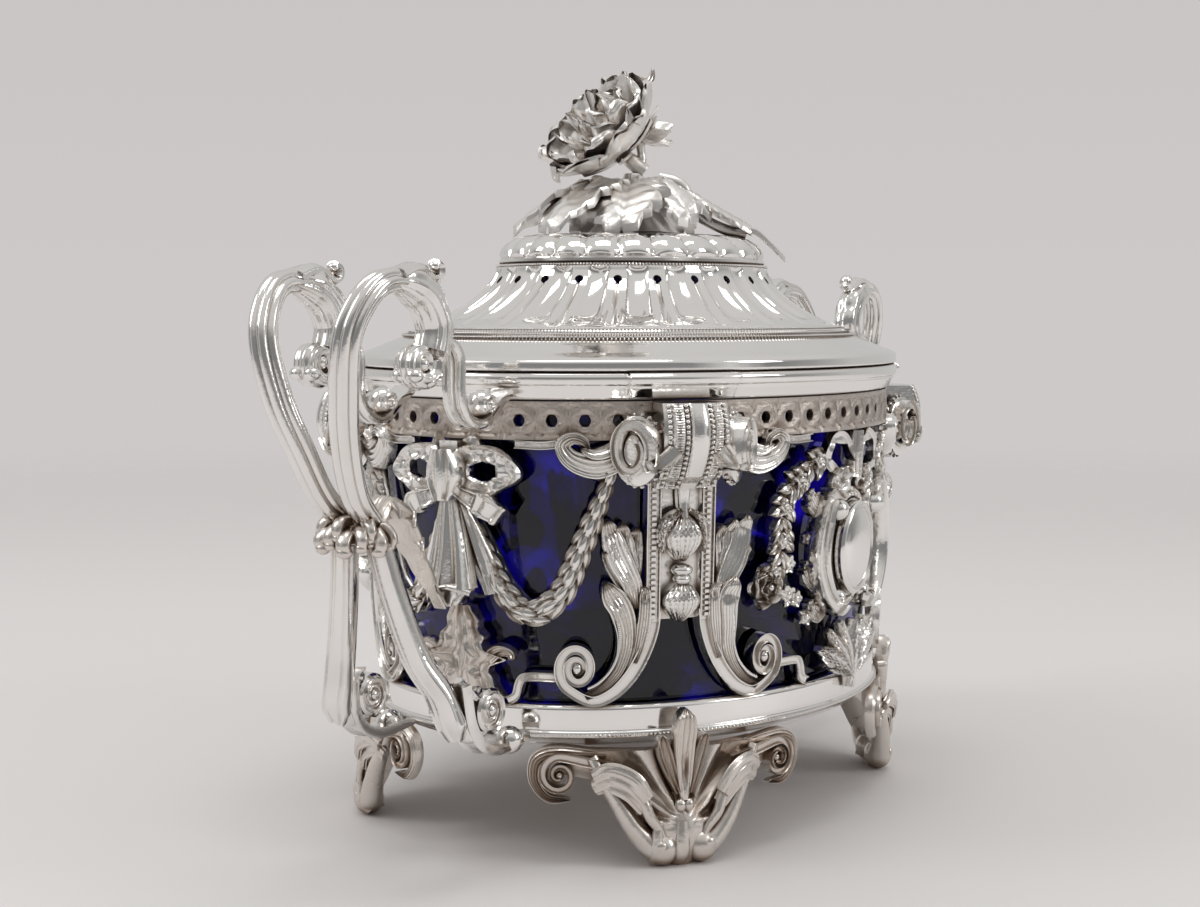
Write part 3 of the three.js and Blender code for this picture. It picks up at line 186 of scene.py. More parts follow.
cameraLook = {"place": (-0.3922, -0.2309, 0.117), "aim": (0.8501, 0.5210, -0.0767), "lens": 56.27}
cameraData = bpy.data.cameras.new("camera")
cameraData.lens = cameraLook["lens"]
cameraData.clip_start = 0.01
camera = bpy.data.objects.new("camera", cameraData)
camera.location = cameraLook["place"]
camera.rotation_euler = Vector(cameraLook["aim"]).to_track_quat("-Z", "Y").to_euler()
bpy.context.collection.objects.link(camera)
bpy.context.scene.camera = camera
bpy.context.scene.view_settings.view_transform = "Standard"

plain, warm = (1, 1, 1), (1, 0.99, 0.975)
backdropLook = {
    "low": (0.61, 0.585, 0.58), "high": (0.57, 0.55, 0.545), "highFrom": 0.22,
    "floor": (0.80, 0.775, 0.77), "fadeFrom": 0.34, "fadeTo": 1.3, "viewWay": (0.853, 0.522, 0),
    "room": [(0.0, 0.22, plain), (0.15, 0.24, plain), (0.25, 0.62, warm), (0.38, 0.20, warm),
             (0.55, 0.32, warm), (0.72, 0.50, warm), (1.0, 0.55, warm)],  # place from camera to object, level, tint
    "ceiling": (0.62, 0.61, 0.60), "ceilingFrom": 0.25, "ceilingTo": 0.75,
}


def makeFloor(look):
    bpy.ops.mesh.primitive_circle_add(vertices=96, radius=4.0, fill_type="NGON")
    floor = bpy.context.object
    floor.name = "floor"
    material = bpy.data.materials.new("paperFloor")
    material.use_nodes = True
    nodes = material.node_tree.nodes
    shader = nodes["Principled BSDF"]
    shader.inputs["Base Color"].default_value = (*look["floor"], 1)
    shader.inputs["Roughness"].default_value = 0.6
    shader.inputs["Specular IOR Level"].default_value = 0.25
    place = addNode(material, "ShaderNodeTexCoord")
    far = addNode(material, "ShaderNodeVectorMath")
    far.operation = "LENGTH"
    joinSockets(material, place.outputs["Object"], far.inputs[0])
    fade = addNode(material, "ShaderNodeMapRange", From_Min=look["fadeFrom"], From_Max=look["fadeTo"])
    fade.interpolation_type = "SMOOTHSTEP"
    joinSockets(material, far.outputs["Value"], fade.inputs["Value"])
    clear = addNode(material, "ShaderNodeBsdfTransparent")
    mix = addNode(material, "ShaderNodeMixShader")
    joinSockets(material, fade.outputs["Result"], mix.inputs["Fac"])
    joinSockets(material, shader.outputs["BSDF"], mix.inputs[1])
    joinSockets(material, clear.outputs["BSDF"], mix.inputs[2])
    joinSockets(material, mix.outputs["Shader"], nodes["Material Output"].inputs["Surface"])
    floor.data.materials.append(material)
    bpy.ops.object.select_all(action="DESELECT")


def makeWorld(look):
    world = bpy.data.worlds.new("studio")
    bpy.context.scene.world = world
    world.use_nodes = True
    world.node_tree.nodes.clear()
    place = addNode(world, "ShaderNodeTexCoord")
    split = addNode(world, "ShaderNodeSeparateXYZ")
    joinSockets(world, place.outputs["Generated"], split.inputs["Vector"])
    seen = rampNode(world, [(0.0, look["low"]), (look["highFrom"], look["high"])])
    joinSockets(world, split.outputs["Z"], seen.inputs["Fac"])
    away = addNode(world, "ShaderNodeVectorMath")  # 1 behind the object, -1 behind the camera
    away.operation = "DOT_PRODUCT"
    away.inputs[1].default_value = look["viewWay"]
    joinSockets(world, place.outputs["Generated"], away.inputs[0])
    room = rampNode(world, [(spot, tuple(level * part for part in tint))
                            for spot, level, tint in look["room"]])
    shift = addNode(world, "ShaderNodeMapRange", From_Min=-1.0)
    joinSockets(world, away.outputs["Value"], shift.inputs["Value"])
    joinSockets(world, shift.outputs["Result"], room.inputs["Fac"])
    height = addNode(world, "ShaderNodeMapRange", From_Min=look["ceilingFrom"], From_Max=look["ceilingTo"])
    height.interpolation_type = "SMOOTHSTEP"
    joinSockets(world, split.outputs["Z"], height.inputs["Value"])
    lifted = addNode(world, "ShaderNodeMix")
    lifted.data_type = "RGBA"
    lifted.inputs["B"].default_value = (*look["ceiling"], 1)
    joinSockets(world, height.outputs["Result"], lifted.inputs["Factor"])
    joinSockets(world, room.outputs["Color"], lifted.inputs["A"])
    rays = addNode(world, "ShaderNodeLightPath")
    pick = addNode(world, "ShaderNodeMix")
    pick.data_type = "RGBA"
    joinSockets(world, rays.outputs["Is Camera Ray"], pick.inputs["Factor"])
    joinSockets(world, lifted.outputs["Result"], pick.inputs["A"])
    joinSockets(world, seen.outputs["Color"], pick.inputs["B"])
    back = addNode(world, "ShaderNodeBackground")
    joinSockets(world, pick.outputs["Result"], back.inputs["Color"])
    out = addNode(world, "ShaderNodeOutputWorld")
    joinSockets(world, back.outputs["Background"], out.inputs["Surface"])


def addLamp(name, place, aim, size, power):
    data = bpy.data.lights.new(name, "AREA")
    data.shape = "RECTANGLE"
    data.size, data.size_y = size
    data.energy = power
    lamp = bpy.data.objects.new(name, data)
    lamp.location = place
    lamp.rotation_euler = (Vector(aim) - Vector(place)).to_track_quat("-Z", "Y").to_euler()
    bpy.context.collection.objects.link(lamp)


makeFloor(backdropLook)
makeWorld(backdropLook)
addLamp("softboxLeft", (-0.62, 0.62, 0.75), (0, 0, 0.08), (0.42, 0.6), 2.4)
addLamp("softboxRight", (0.25, -1.0, 0.55), (0, 0, 0.06), (0.3, 0.5), 1.9)
addLamp("softboxTop", (-0.1, -0.1, 1.2), (0, 0, 0), (0.75, 0.4), 2.8)
print("stage set")


# Shared shaping: the oval wall, smooth lines and closed bodies

body = {
    "halfLength": 72.0, "halfWidth": 58.0, "wall": 1.5, "taper": 2.5,
    "base": (25.0, 34.0), "frieze": (90.0, 98.0), "rim": (98.3, 104.0),
    "pilasterFromEnd": 48.2, "holePitch": 6.9, "holeRadius": 1.25,
}
ovalSteps = 1440
ovalLengths = [0.0]
for i in range(ovalSteps):
    angle = (i + 0.5) / ovalSteps * 2 * pi
    speed = hypot(body["halfLength"] * sin(angle), body["halfWidth"] * cos(angle))
    ovalLengths.append(ovalLengths[-1] + speed * 2 * pi / ovalSteps)
ovalLength = ovalLengths[-1]


def ovalPoint(distance, offset, z):
    wrapped = distance % ovalLength
    low = min(bisect.bisect_right(ovalLengths, wrapped) - 1, ovalSteps - 1)
    part = (wrapped - ovalLengths[low]) / (ovalLengths[low + 1] - ovalLengths[low])
    angle = (low + part) / ovalSteps * 2 * pi
    nx, ny = cos(angle) / body["halfLength"], sin(angle) / body["halfWidth"]
    size = hypot(nx, ny)
    x = body["halfLength"] * cos(angle) + offset * nx / size
    y = body["halfWidth"] * sin(angle) + offset * ny / size
    return Vector((x, y, z))


def wallOffset(z):
    down = min(max((body["frieze"][0] - z) / (body["frieze"][0] - body["base"][1]), 0.0), 1.0)
    return -body["wall"] - body["taper"] * down


def onWall(start, side=1):  # drawn flat: u along the wall, z up, w out from its inner face
    return lambda u, z, w: ovalPoint(start + side * u, wallOffset(z) + w, z)


faceStart = {"right": 0.0, "back": ovalLength / 4, "left": ovalLength / 2, "front": 3 * ovalLength / 4}
pilasterSpots = [
    ("back_right", body["pilasterFromEnd"], -1),
    ("back_left", ovalLength / 2 - body["pilasterFromEnd"], 1),
    ("front_left", ovalLength / 2 + body["pilasterFromEnd"], -1),
    ("front_right", ovalLength - body["pilasterFromEnd"], 1),
]


def smoothLine(points, count):
    # evenly spaced points and directions on a smooth line through the given ones
    knots = [Vector(point) for point in points]
    knots = [2 * knots[0] - knots[1]] + knots + [2 * knots[-1] - knots[-2]]
    fine = []
    for a, b, c, d in zip(knots, knots[1:], knots[2:], knots[3:]):
        gaps = [max((q - p).length, 1e-4) ** 0.5 for p, q in ((a, b), (b, c), (c, d))]
        leaveB = ((b - a) / gaps[0] - (c - a) / (gaps[0] + gaps[1]) + (c - b) / gaps[1]) * gaps[1]
        leaveC = ((c - b) / gaps[1] - (d - b) / (gaps[1] + gaps[2]) + (d - c) / gaps[2]) * gaps[1]
        for i in range(24):
            t = i / 24
            fine.append((2 * t**3 - 3 * t**2 + 1) * b + (t**3 - 2 * t**2 + t) * leaveB
                        + (3 * t**2 - 2 * t**3) * c + (t**3 - t**2) * leaveC)
    fine.append(knots[-2].copy())
    lengths = [0.0]
    for p, q in zip(fine, fine[1:]):
        lengths.append(lengths[-1] + (q - p).length)
    spots = []
    for i in range(count + 1):
        want = lengths[-1] * i / count
        low = min(bisect.bisect_right(lengths, want) - 1, len(fine) - 2)
        part = (want - lengths[low]) / max(lengths[low + 1] - lengths[low], 1e-9)
        spots.append(fine[low].lerp(fine[low + 1], part))
    ways = [(spots[min(i + 1, count)] - spots[max(i - 1, 0)]).normalized() for i in range(count + 1)]
    return list(zip(spots, ways))


def newShape():
    return {"points": [], "faces": []}


def addRows(shape, rows, closed=True, caps=True):
    # skins rows of points; each row is a loop when closed, and the ends are capped
    base = len(shape["points"])
    wide = len(rows[0])
    for row in rows:
        shape["points"].extend(tuple(point) for point in row)
    for i in range(len(rows) - 1):
        for j in range(wide if closed else wide - 1):
            a, b = base + i * wide + j, base + i * wide + (j + 1) % wide
            shape["faces"].append((a, b, b + wide, a + wide))
    if caps:
        shape["faces"].append(tuple(base + j for j in reversed(range(wide))))
        last = base + (len(rows) - 1) * wide
        shape["faces"].append(tuple(last + j for j in range(wide)))


boxFaces = [(3, 2, 1, 0), (4, 5, 6, 7), (0, 1, 5, 4), (1, 2, 6, 5), (2, 3, 7, 6), (3, 0, 4, 7)]


def mergeInto(shape, other, move=lambda point: point):
    base = len(shape["points"])
    shape["points"].extend(tuple(move(Vector(point))) for point in other["points"])
    shape["faces"].extend(tuple(base + n for n in face) for face in other["faces"])


def strap(shape, line, width, relief, steps=32, across=10, back=0.0):
    # a band drawn flat on the wall; relief(t, a) is its height over the line, a from 1 to -1
    rows = []
    for i, (spot, way) in enumerate(smoothLine(line, steps)):
        t = i / steps
        flat = max(hypot(way.x, way.y), 1e-6)
        nu, nz, half = -way.y / flat, way.x / flat, width(t) / 2
        row = [(spot.x + nu * half * a, spot.y + nz * half * a, spot.z + relief(t, a))
               for a in sideToSide(across)]
        row += [(spot.x + nu * half * a, spot.y + nz * half * a, spot.z + back) for a in (-1, 1)]
        rows.append(row)
    addRows(shape, rows)


def peak(value, middle, width):  # smooth hump of height 1
    return exp(-((value - middle) / width) ** 2)


def arch(share):  # round arch: 1 in the middle, 0 at 1 and -1
    return sqrt(max(0.0, 1 - share * share))


def circle(count):  # even angles once round
    return [2 * pi * i / count for i in range(count)]


def sideToSide(count):  # even steps from 1 to -1
    return [1 - 2 * i / count for i in range(count + 1)]


def bothFaces(count):  # across the front of a thin sheet, marked 1, and back behind it, marked 0
    return [(face, share if face else -share) for face in (1, 0) for share in sideToSide(count)]


def ribbedOval(half, thick, count, ribs=7, wideRib=0.0, thickRib=0.0):
    return [(half * cos(a) * (1 + wideRib * cos(ribs * a)), thick * sin(a) * (1 + thickRib * cos(ribs * a)))
            for a in circle(count)]


def mirrored(side, line):
    return [(side * u, z, w) for u, z, w in line]


def even(size):
    return lambda t: size


def taper(start, end):
    return lambda t: start + (end - start) * t


def swell(root, middle, tip):
    return lambda t: (root if t < 0.5 else tip) + (middle - (root if t < 0.5 else tip)) * sin(pi * t)


def along(values):
    # reads a list of sizes at a share t of the way
    last = len(values) - 1

    def read(t):
        place = min(max(t, 0.0), 0.9999) * last
        low = int(place)
        return values[low] + (values[low + 1] - values[low]) * (place - low)
    return read


def roundEnd(width, share=0.13):
    return lambda t: width(t) * sqrt(max(0.05, 1 - max(0.0, (t - 1 + share) / share) ** 2))


def domed(height, edge=0.25):
    return lambda t, a: height * (edge + (1 - edge) * arch(a))


def moulded(height, sink=0.45, bar=0.42):
    # round bars along both edges with a sunk middle
    def relief(t, a):
        far = (abs(a) - (1 - bar)) / bar
        ridge = arch(2 * far - 1) if far > 0 else 0.0
        return height * (1 - sink + sink * ridge)
    return relief


def veined(height, veins=7, slant=0.55, depth=0.16):
    # leaf: a raised midrib with fine slanting veins, thin at the edges
    def relief(t, a):
        dome = arch(a)
        mid = peak(a, 0, 0.16)
        fine = cos(2 * pi * veins * (t + slant * abs(a)))
        return height * (0.3 + 0.62 * dome + 0.18 * mid + depth * fine * min(1.0, 2.5 * dome) * (1 - mid))
    return relief


def hatched(height, lines=5, depth=0.13):
    # fine parallel grooves that run along the band
    return lambda t, a: height * (0.35 + 0.65 * arch(a) + depth * cos(pi * lines * a))


def ball(shape, centre, radii, rings=6, around=10):
    rows = []
    for i in range(1, rings):
        tilt = pi * i / rings
        rows.append([(centre[0] + radii[0] * sin(tilt) * cos(2 * pi * j / around),
                      centre[1] + radii[1] * sin(tilt) * sin(2 * pi * j / around),
                      centre[2] - radii[2] * cos(tilt)) for j in range(around)])
    base = len(shape["points"])
    addRows(shape, rows, caps=False)
    low, high = len(shape["points"]), len(shape["points"]) + 1
    shape["points"] += [(centre[0], centre[1], centre[2] - radii[2]),
                        (centre[0], centre[1], centre[2] + radii[2])]
    last = base + (rings - 2) * around
    for j in range(around):
        shape["faces"].append((low, base + (j + 1) % around, base + j))
        shape["faces"].append((high, last + j, last + (j + 1) % around))


def boss(shape, centre, profile, halfU, halfZ, around=32, lift=0.0, wave=lambda angle, r: 1.0):
    # a turned form lying on the wall; profile is [radius share, height]
    rows = [[(centre[0] + r * halfU * cos(angle) * wave(angle, r), centre[1] + r * halfZ * sin(angle)
              * wave(angle, r), lift + h) for angle in circle(around)] for r, h in profile]
    addRows(shape, rows)


def spiral(centre, radiusU, radiusZ, start, turns, inner, count, lift, way=1):
    points = []
    for i in range(count + 1):
        part = i / count
        angle = start + way * turns * 2 * pi * part
        size = 1 + (inner - 1) * part
        points.append((centre[0] + radiusU * size * cos(angle),
                       centre[1] + radiusZ * size * sin(angle), lift))
    return points


def makePiece(name, shape, finish, node, rides, place=None, smooth=0.7):
    # one finished object: the shape is placed, closed, smoothed and tied to its body
    points = [place(*point) if place else Vector(point) for point in shape["points"]]
    mesh = bpy.data.meshes.new(name)
    mesh.from_pydata([tuple(point * mm) for point in points], [], shape["faces"])
    work = bmesh.new()
    work.from_mesh(mesh)
    bmesh.ops.remove_doubles(work, verts=work.verts, dist=2e-6)
    bmesh.ops.dissolve_degenerate(work, edges=work.edges, dist=1e-6)
    bmesh.ops.recalc_face_normals(work, faces=work.faces)
    work.to_mesh(mesh)
    work.free()
    piece = bpy.data.objects.new(name, mesh)
    bpy.context.collection.objects.link(piece)
    return finishPiece(piece, finish, node, rides, smooth)


def finishPiece(piece, finish, node, rides, smooth=0.7):
    bpy.ops.object.select_all(action="DESELECT")
    piece.select_set(True)
    bpy.context.view_layer.objects.active = piece
    bpy.ops.object.shade_smooth_by_angle(angle=smooth)
    piece.data.materials.clear()
    piece.data.materials.append(finish)
    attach(piece, rides)
    if node:
        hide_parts(node)
    bpy.ops.object.select_all(action="DESELECT")
    return piece


def rounded(profile, radius, steps=4):
    # softens the corners of a profile of [reach, z] pairs
    soft = []
    count = len(profile)
    for i, corner in enumerate(profile):
        here = Vector(corner)
        before, after = Vector(profile[i - 1]), Vector(profile[(i + 1) % count])
        reach = min(radius, (before - here).length * 0.45, (after - here).length * 0.45)
        start = here + (before - here).normalized() * reach
        end = here + (after - here).normalized() * reach
        for k in range(steps + 1):
            t = k / steps
            soft.append(tuple((1 - t) ** 2 * start + 2 * t * (1 - t) * here + t * t * end))
    return soft


def turnOval(name, profile, shapeOf, points=192):
    # by hand: a circle is drawn out to the first ring, then extruded and resized ring by ring
    bpy.ops.object.select_all(action="DESELECT")
    bpy.ops.mesh.primitive_circle_add(vertices=points, radius=mm)
    piece = bpy.context.object
    piece.name = name
    bpy.ops.object.mode_set(mode="EDIT")
    bpy.ops.mesh.select_all(action="SELECT")
    first = shapeOf(profile[0][0])
    bpy.ops.transform.resize(value=(first[0], first[1], 1))
    bpy.ops.transform.translate(value=(0, 0, profile[0][1] * mm))
    for before, after in zip(profile, profile[1:]):
        was, now = shapeOf(before[0]), shapeOf(after[0])
        bpy.ops.mesh.extrude_region_move(TRANSFORM_OT_translate={"value": (0, 0,
                (after[1] - before[1]) * mm)})
        bpy.ops.transform.resize(value=(now[0] / was[0], now[1] / was[1], 1))
    bpy.ops.mesh.select_all(action="DESELECT")
    bpy.ops.mesh.select_non_manifold()
    bpy.ops.mesh.bridge_edge_loops()
    bpy.ops.mesh.select_all(action="SELECT")
    bpy.ops.mesh.normals_make_consistent(inside=False)
    bpy.ops.object.mode_set(mode="OBJECT")
    piece.select_set(False)
    return piece


def besideWall(offset):
    return body["halfLength"] + offset, body["halfWidth"] + offset


def joinShape(piece, shape, place=None):
    # adds drawn detail such as beads to a piece that was made by hand
    work = bmesh.new()
    work.from_mesh(piece.data)
    spots = [work.verts.new((place(*point) if place else Vector(point)) * mm) for point in shape["points"]]
    added = [work.faces.new([spots[n] for n in face]) for face in shape["faces"]]
    bmesh.ops.recalc_face_normals(work, faces=added)
    work.to_mesh(piece.data)
    work.free()


def beadShape(radius, flat=0.75):
    bead = newShape()
    ball(bead, (0, 0, 0), (radius, radius, radius * flat), 4, 6)
    return bead


def addRing(shape, rows):
    # rows of profile points that meet again after the last one
    base, wide = len(shape["points"]), len(rows[0])
    for row in rows:
        shape["points"].extend(tuple(point) for point in row)
    for i in range(len(rows)):
        for j in range(wide):
            a, b = base + i * wide, base + ((i + 1) % len(rows)) * wide
            shape["faces"].append((a + j, a + (j + 1) % wide, b + (j + 1) % wide, b + j))


def beadsAround(shape, radius, pitch, spotOf, length):
    # a line of small beads; spotOf turns a share of the way round into a place
    bead = beadShape(radius)
    for i in range(int(length / pitch)):
        spot = spotOf(i / int(length / pitch))
        mergeInto(shape, bead, lambda point: point + spot)


# Base ring with its beaded lower edge

baseLook = {"outer": -2.1, "thick": 2.3, "ledge": 4.0, "beadRadius": 0.42, "beadPitch": 0.95}


def makeBase(look):
    low, high = body["base"]
    outer, inner = look["outer"], look["outer"] - look["thick"]
    profile = rounded([(inner - look["ledge"], low), (outer - 2.5, low), (outer - 2.2, low + 0.6),
                       (outer - 1.3, low + 1.6), (outer + 0.3, low + 2.1), (outer + 0.35, low + 3.1),
                       (outer - 0.1, low + 3.5), (outer, low + 4.2), (outer, high - 0.7),
                       (outer - 0.7, high), (inner, high), (inner, low + 1.9),
                       (inner - look["ledge"], low + 1.9)], 0.4)
    piece = turnOval("base_ring", profile, besideWall)
    beads = newShape()
    beadsAround(beads, look["beadRadius"], look["beadPitch"],
                lambda part: ovalPoint(part * ovalLength, outer + 0.35, low + 2.65), ovalLength)
    joinShape(piece, beads)
    finishPiece(piece, polishedSilver, "base_rim", "bowl")


# Rim moulding with the raised blocks over the pilasters

rimLook = {"block": 1.2, "blockHalfWidth": 12.0, "edge": 0.9, "notch": 0.55}


def makeRim(look):
    low, high = body["rim"]
    profile = rounded([
        (-1.5, low), (0.5, low), (1.0, low + 0.3), (1.5, low + 1.4), (2.1, low + 2.5), (2.15, low + 3.0),
        (2.7, low + 3.3), (2.85, low + 4.2), (2.85, high - 0.9), (2.3, high), (-1.5, high)], 0.45)
    stations = [i / 360 * ovalLength for i in range(360)]
    for _, at, _ in pilasterSpots:
        for edge in (-1, 1):
            middle = at + edge * look["blockHalfWidth"]
            stations += [(middle + step * 0.14) % ovalLength for step in range(-9, 10)]
    rows = []
    for at in sorted(stations):
        near = min(abs((at - spot + ovalLength / 2) % ovalLength - ovalLength / 2)
                   for _, spot, _ in pilasterSpots)
        beyond = (near - look["blockHalfWidth"]) / look["edge"]
        lift = look["block"] * (1.0 if beyond < -0.5 else 0.0 if beyond > 0.5 else 0.5 - beyond)
        cut = look["notch"] * peak(beyond, 0, 0.35)
        rows.append([ovalPoint(at, offset + (lift - cut) * min(1.0, max(offset, 0) / 2.85), z)
                     for offset, z in profile])
    shape = newShape()
    addRing(shape, rows)
    makePiece("rim_moulding", shape, polishedSilver, "rim_mount", "bowl", smooth=0.6)


# Pierced frieze: interlaced bands round a row of holes on a stippled ground

friezeLook = {
    "relief": 0.55, "bandWidth": 0.95, "swing": 2.35, "ground": 0.25, "filletHeight": 0.8, "filletOut": 0.9,
    "coverHalf": 7.6, "blindHole": 0.12,  # behind a pilaster the holes are almost closed
}


def friezeRelief(look, u, v, pitch):
    # height of the two crossing bands at u along a panel and v above its middle
    best = 0.0
    for way in (1, -1):
        line = way * look["swing"] * cos(pi * u / pitch)
        slope = look["swing"] * pi / pitch * sin(pi * u / pitch)
        far = abs(v - line) / hypot(1, slope)
        if far < look["bandWidth"]:
            share = far / look["bandWidth"]
            best = max(best, look["relief"] * (0.72 + 0.28 * cos(2 * pi * share))
                       * min(1.0, 5 * (1 - share)))
    return best


def makeFrieze(look):
    low, high = body["frieze"]
    panels = round(ovalLength / body["holePitch"])
    pitch = ovalLength / panels
    tall = (high - low) / 2
    angles = 40
    shape = newShape()
    for n in range(panels):
        middle = (n + 0.5) * pitch
        covered = any(abs(at - middle) < look["coverHalf"] for _, at, _ in pilasterSpots)
        hole = look["blindHole"] if covered else body["holeRadius"]
        front, back = [], []
        for ring in range(10):
            share = (ring / 9) ** 1.15
            frontRow, backRow = [], []
            for k in range(angles):
                angle = 2 * pi * (k + 0.5) / angles
                c, s = cos(angle), sin(angle)
                reach = min(pitch / 2 / max(abs(c), 1e-6), tall / max(abs(s), 1e-6))
                r = hole + (reach - hole) * share
                u, v = r * c, r * s
                lift = look["ground"] + friezeRelief(look, u + (n % 2) * pitch, v, pitch)
                if abs(v) > tall - look["filletHeight"]:
                    lift = max(lift, look["filletOut"] if v < 0 else look["relief"])
                frontRow.append(ovalPoint(middle + u, -0.25 + lift, low + tall + v))
                backRow.append(ovalPoint(middle + u, -body["wall"], low + tall + v))
            front.append(frontRow)
            back.append(backRow)
        addRows(shape, list(reversed(back)) + front, closed=True, caps=False)
    makePiece("frieze", shape, stippledSilver, "frieze_band", "bowl", smooth=0.8)


# Glass liner

linerLook = {"play": 1.2, "glass": 2.2, "top": 100.5, "bottom": 28.7}


def makeLiner(look):
    def outer(z):
        return wallOffset(z) - look["play"]
    low, glass = look["bottom"], look["glass"]
    turn = low + 4
    outside = [(outer(turn) - 26, low), (outer(turn) - 5, low), (outer(turn) - 1.6, low + 1.2),
               (outer(turn), turn), (outer(62), 62), (outer(90), 90),
               (outer(look["top"]), look["top"] - 0.2)]
    inside = [(offset - glass, z) for offset, z in reversed(outside[3:])]
    inside += [(outer(turn) - glass - 1.6, low + glass + 1.3), (outer(turn) - glass - 4.5, low + glass),
               (outer(turn) - 26, low + glass)]
    piece = turnOval("glass_liner_visual", rounded(outside + inside, 0.9), besideWall, 144)
    closeMiddles(piece)
    finishPiece(piece, cobaltGlass, "glass_liner", "liner")


def closeMiddles(piece):
    # the ring's inner wall is taken out and both floors are closed
    bpy.context.view_layer.objects.active = piece
    piece.select_set(True)
    reach = min(hypot(v.co.x, v.co.y) for v in piece.data.vertices)
    work = bmesh.new()
    work.from_mesh(piece.data)
    ratio = (body["halfLength"] - 30) / (body["halfWidth"] - 30)
    inner = [f for f in work.faces if all(hypot(v.co.x / ratio, v.co.y) < reach * 1.02 + 1e-5
                                          for v in f.verts)]
    bmesh.ops.delete(work, geom=inner, context="FACES")
    bmesh.ops.holes_fill(work, edges=[e for e in work.edges if e.is_boundary], sides=0)
    bmesh.ops.recalc_face_normals(work, faces=work.faces)
    work.to_mesh(piece.data)
    work.free()
    piece.select_set(False)


# Lid: polished ogee, beaded and milled lines, fluted band, gadrooned dome

lidLook = {
    "edge": 74.65, "ratio": 60.85 / 74.85, "bottom": 104.3,
    "flutes": 24, "fluteDepth": 1.0, "dartDepth": 0.55,
    "bandFoot": (56.6, 113.5), "bandTop": (37.7, 126.7), "holeRadius": 1.0, "holeShare": 0.8,
    "gadroons": 24, "gadroonLift": 2.1,
    "domeEdge": 36.9, "domeBottom": 127.4, "domeTop": 135.0, "teeth": 560,
    "beadLines": [(62.5, 111.1, 0.42), (58.9, 112.75, 0.36), (37.6, 127.15, 0.36)],  # reach, height, radius
}


def lidOval(look):
    return lambda reach: (reach, reach * look["ratio"])


def lidSpot(look, part, reach, z):
    angle = part * 2 * pi
    return Vector((reach * cos(angle), reach * look["ratio"] * sin(angle), z))


def bandCurve(look, t):
    # the hollow of the fluted band, from its foot up to the bead line under the dome
    (r0, z0), (r1, z1) = look["bandFoot"], look["bandTop"]
    return r0 + (r1 - r0) * (1 - (1 - t) ** 1.62), z0 + (z1 - z0) * t ** 1.12


def makeLid(look):
    low, edge = look["bottom"], look["edge"]
    bandSteps = 26
    band = [bandCurve(look, i / bandSteps) for i in range(bandSteps + 1)]
    lower = rounded([(edge - 9.4, low), (edge, low), (edge, low + 1.9), (edge - 1.1, low + 2.7),
                     (edge - 4.4, low + 3.7), (edge - 8.6, low + 5.2), (62.8, low + 6.3),
                     (62.2, low + 6.9), (61.2, low + 6.9), (60.4, low + 7.6), (59.4, low + 7.9),
                     (58.8, low + 8.6), (57.8, low + 8.6), (57.2, low + 9.1)], 0.5)[5:]
    upper = [(37.4, 127.1), (33.9, 127.1), (34.6, 126.2), (36.4, 123.6), (42.6, 117.0), (54.0, 111.7),
             (61.5, 108.4), (65.2, 106.0)]
    profile = [(edge - 9.4, low)] + lower + band + upper
    piece = turnOval("lid_body", profile, lidOval(look), look["flutes"] * 18)
    pitch = 1 / look["flutes"]
    shares = [(i / bandSteps, spot) for i, spot in enumerate(band)]
    for vertex in piece.data.vertices:
        reach, z = hypot(vertex.co.x, vertex.co.y / look["ratio"]) / mm, vertex.co.z / mm
        t = next((share for share, spot in shares if abs(spot[0] - reach) < 0.02
                  and abs(spot[1] - z) < 0.02), None)
        if t is None or not 0 < t < 1:
            continue
        part = atan2(vertex.co.y / look["ratio"], vertex.co.x) / (2 * pi) % 1
        across = (part / pitch + 0.5) % 1 - 0.5  # 0 in the middle of a panel, +-0.5 in a flute
        inFlute = max(0.0, 1 - abs(abs(across) - 0.5) / 0.26)
        openness = min(1.0, max(0.0, (t - 0.10) / 0.12)) * min(1.0, (1 - t) / 0.06)
        push = -look["fluteDepth"] * arch(1 - inFlute) * openness
        dart = 0.11 * (1 - t / look["holeShare"])
        if abs(across) < dart and t < look["holeShare"]:
            push -= look["dartDepth"] * (1 - abs(across) / dart)
        r0, z0 = bandCurve(look, max(0.0, t - 0.02))
        r1, z1 = bandCurve(look, min(1.0, t + 0.02))
        size = hypot(r1 - r0, z1 - z0)
        out, rise = (z1 - z0) / size, (r0 - r1) / size
        scale = 1 + push * out / reach
        vertex.co.x *= scale
        vertex.co.y *= scale
        vertex.co.z += push * rise * mm
    drillLid(piece, look)
    beads = newShape()
    for reach, z, radius in look["beadLines"]:
        length = pi * reach * (1 + look["ratio"])
        beadsAround(beads, radius, 2.25 * radius, lambda part: lidSpot(look, part, reach, z), length)
    milled = newShape()
    mergeInto(milled, {"points": [(-0.12, -0.35, -0.3), (0.12, -0.35, -0.3), (0.12, 0.35, -0.3),
                                  (-0.12, 0.35, -0.3), (-0.12, -0.3, 0.2), (0.12, -0.3, 0.2),
                                  (0.12, 0.3, 0.2), (-0.12, 0.3, 0.2)], "faces": boxFaces})
    for i in range(look["teeth"]):
        part = i / look["teeth"]
        spot = lidSpot(look, part, 60.75 + 0.22 * sin(part * 2 * pi * 9), low + 7.35)
        turned = Matrix.Rotation(part * 2 * pi + pi / 2, 3, "Z")
        mergeInto(beads, milled, lambda point: spot + turned @ point)
    joinShape(piece, beads)
    finishPiece(piece, polishedSilver, "lid_shell", "lid", smooth=0.55)


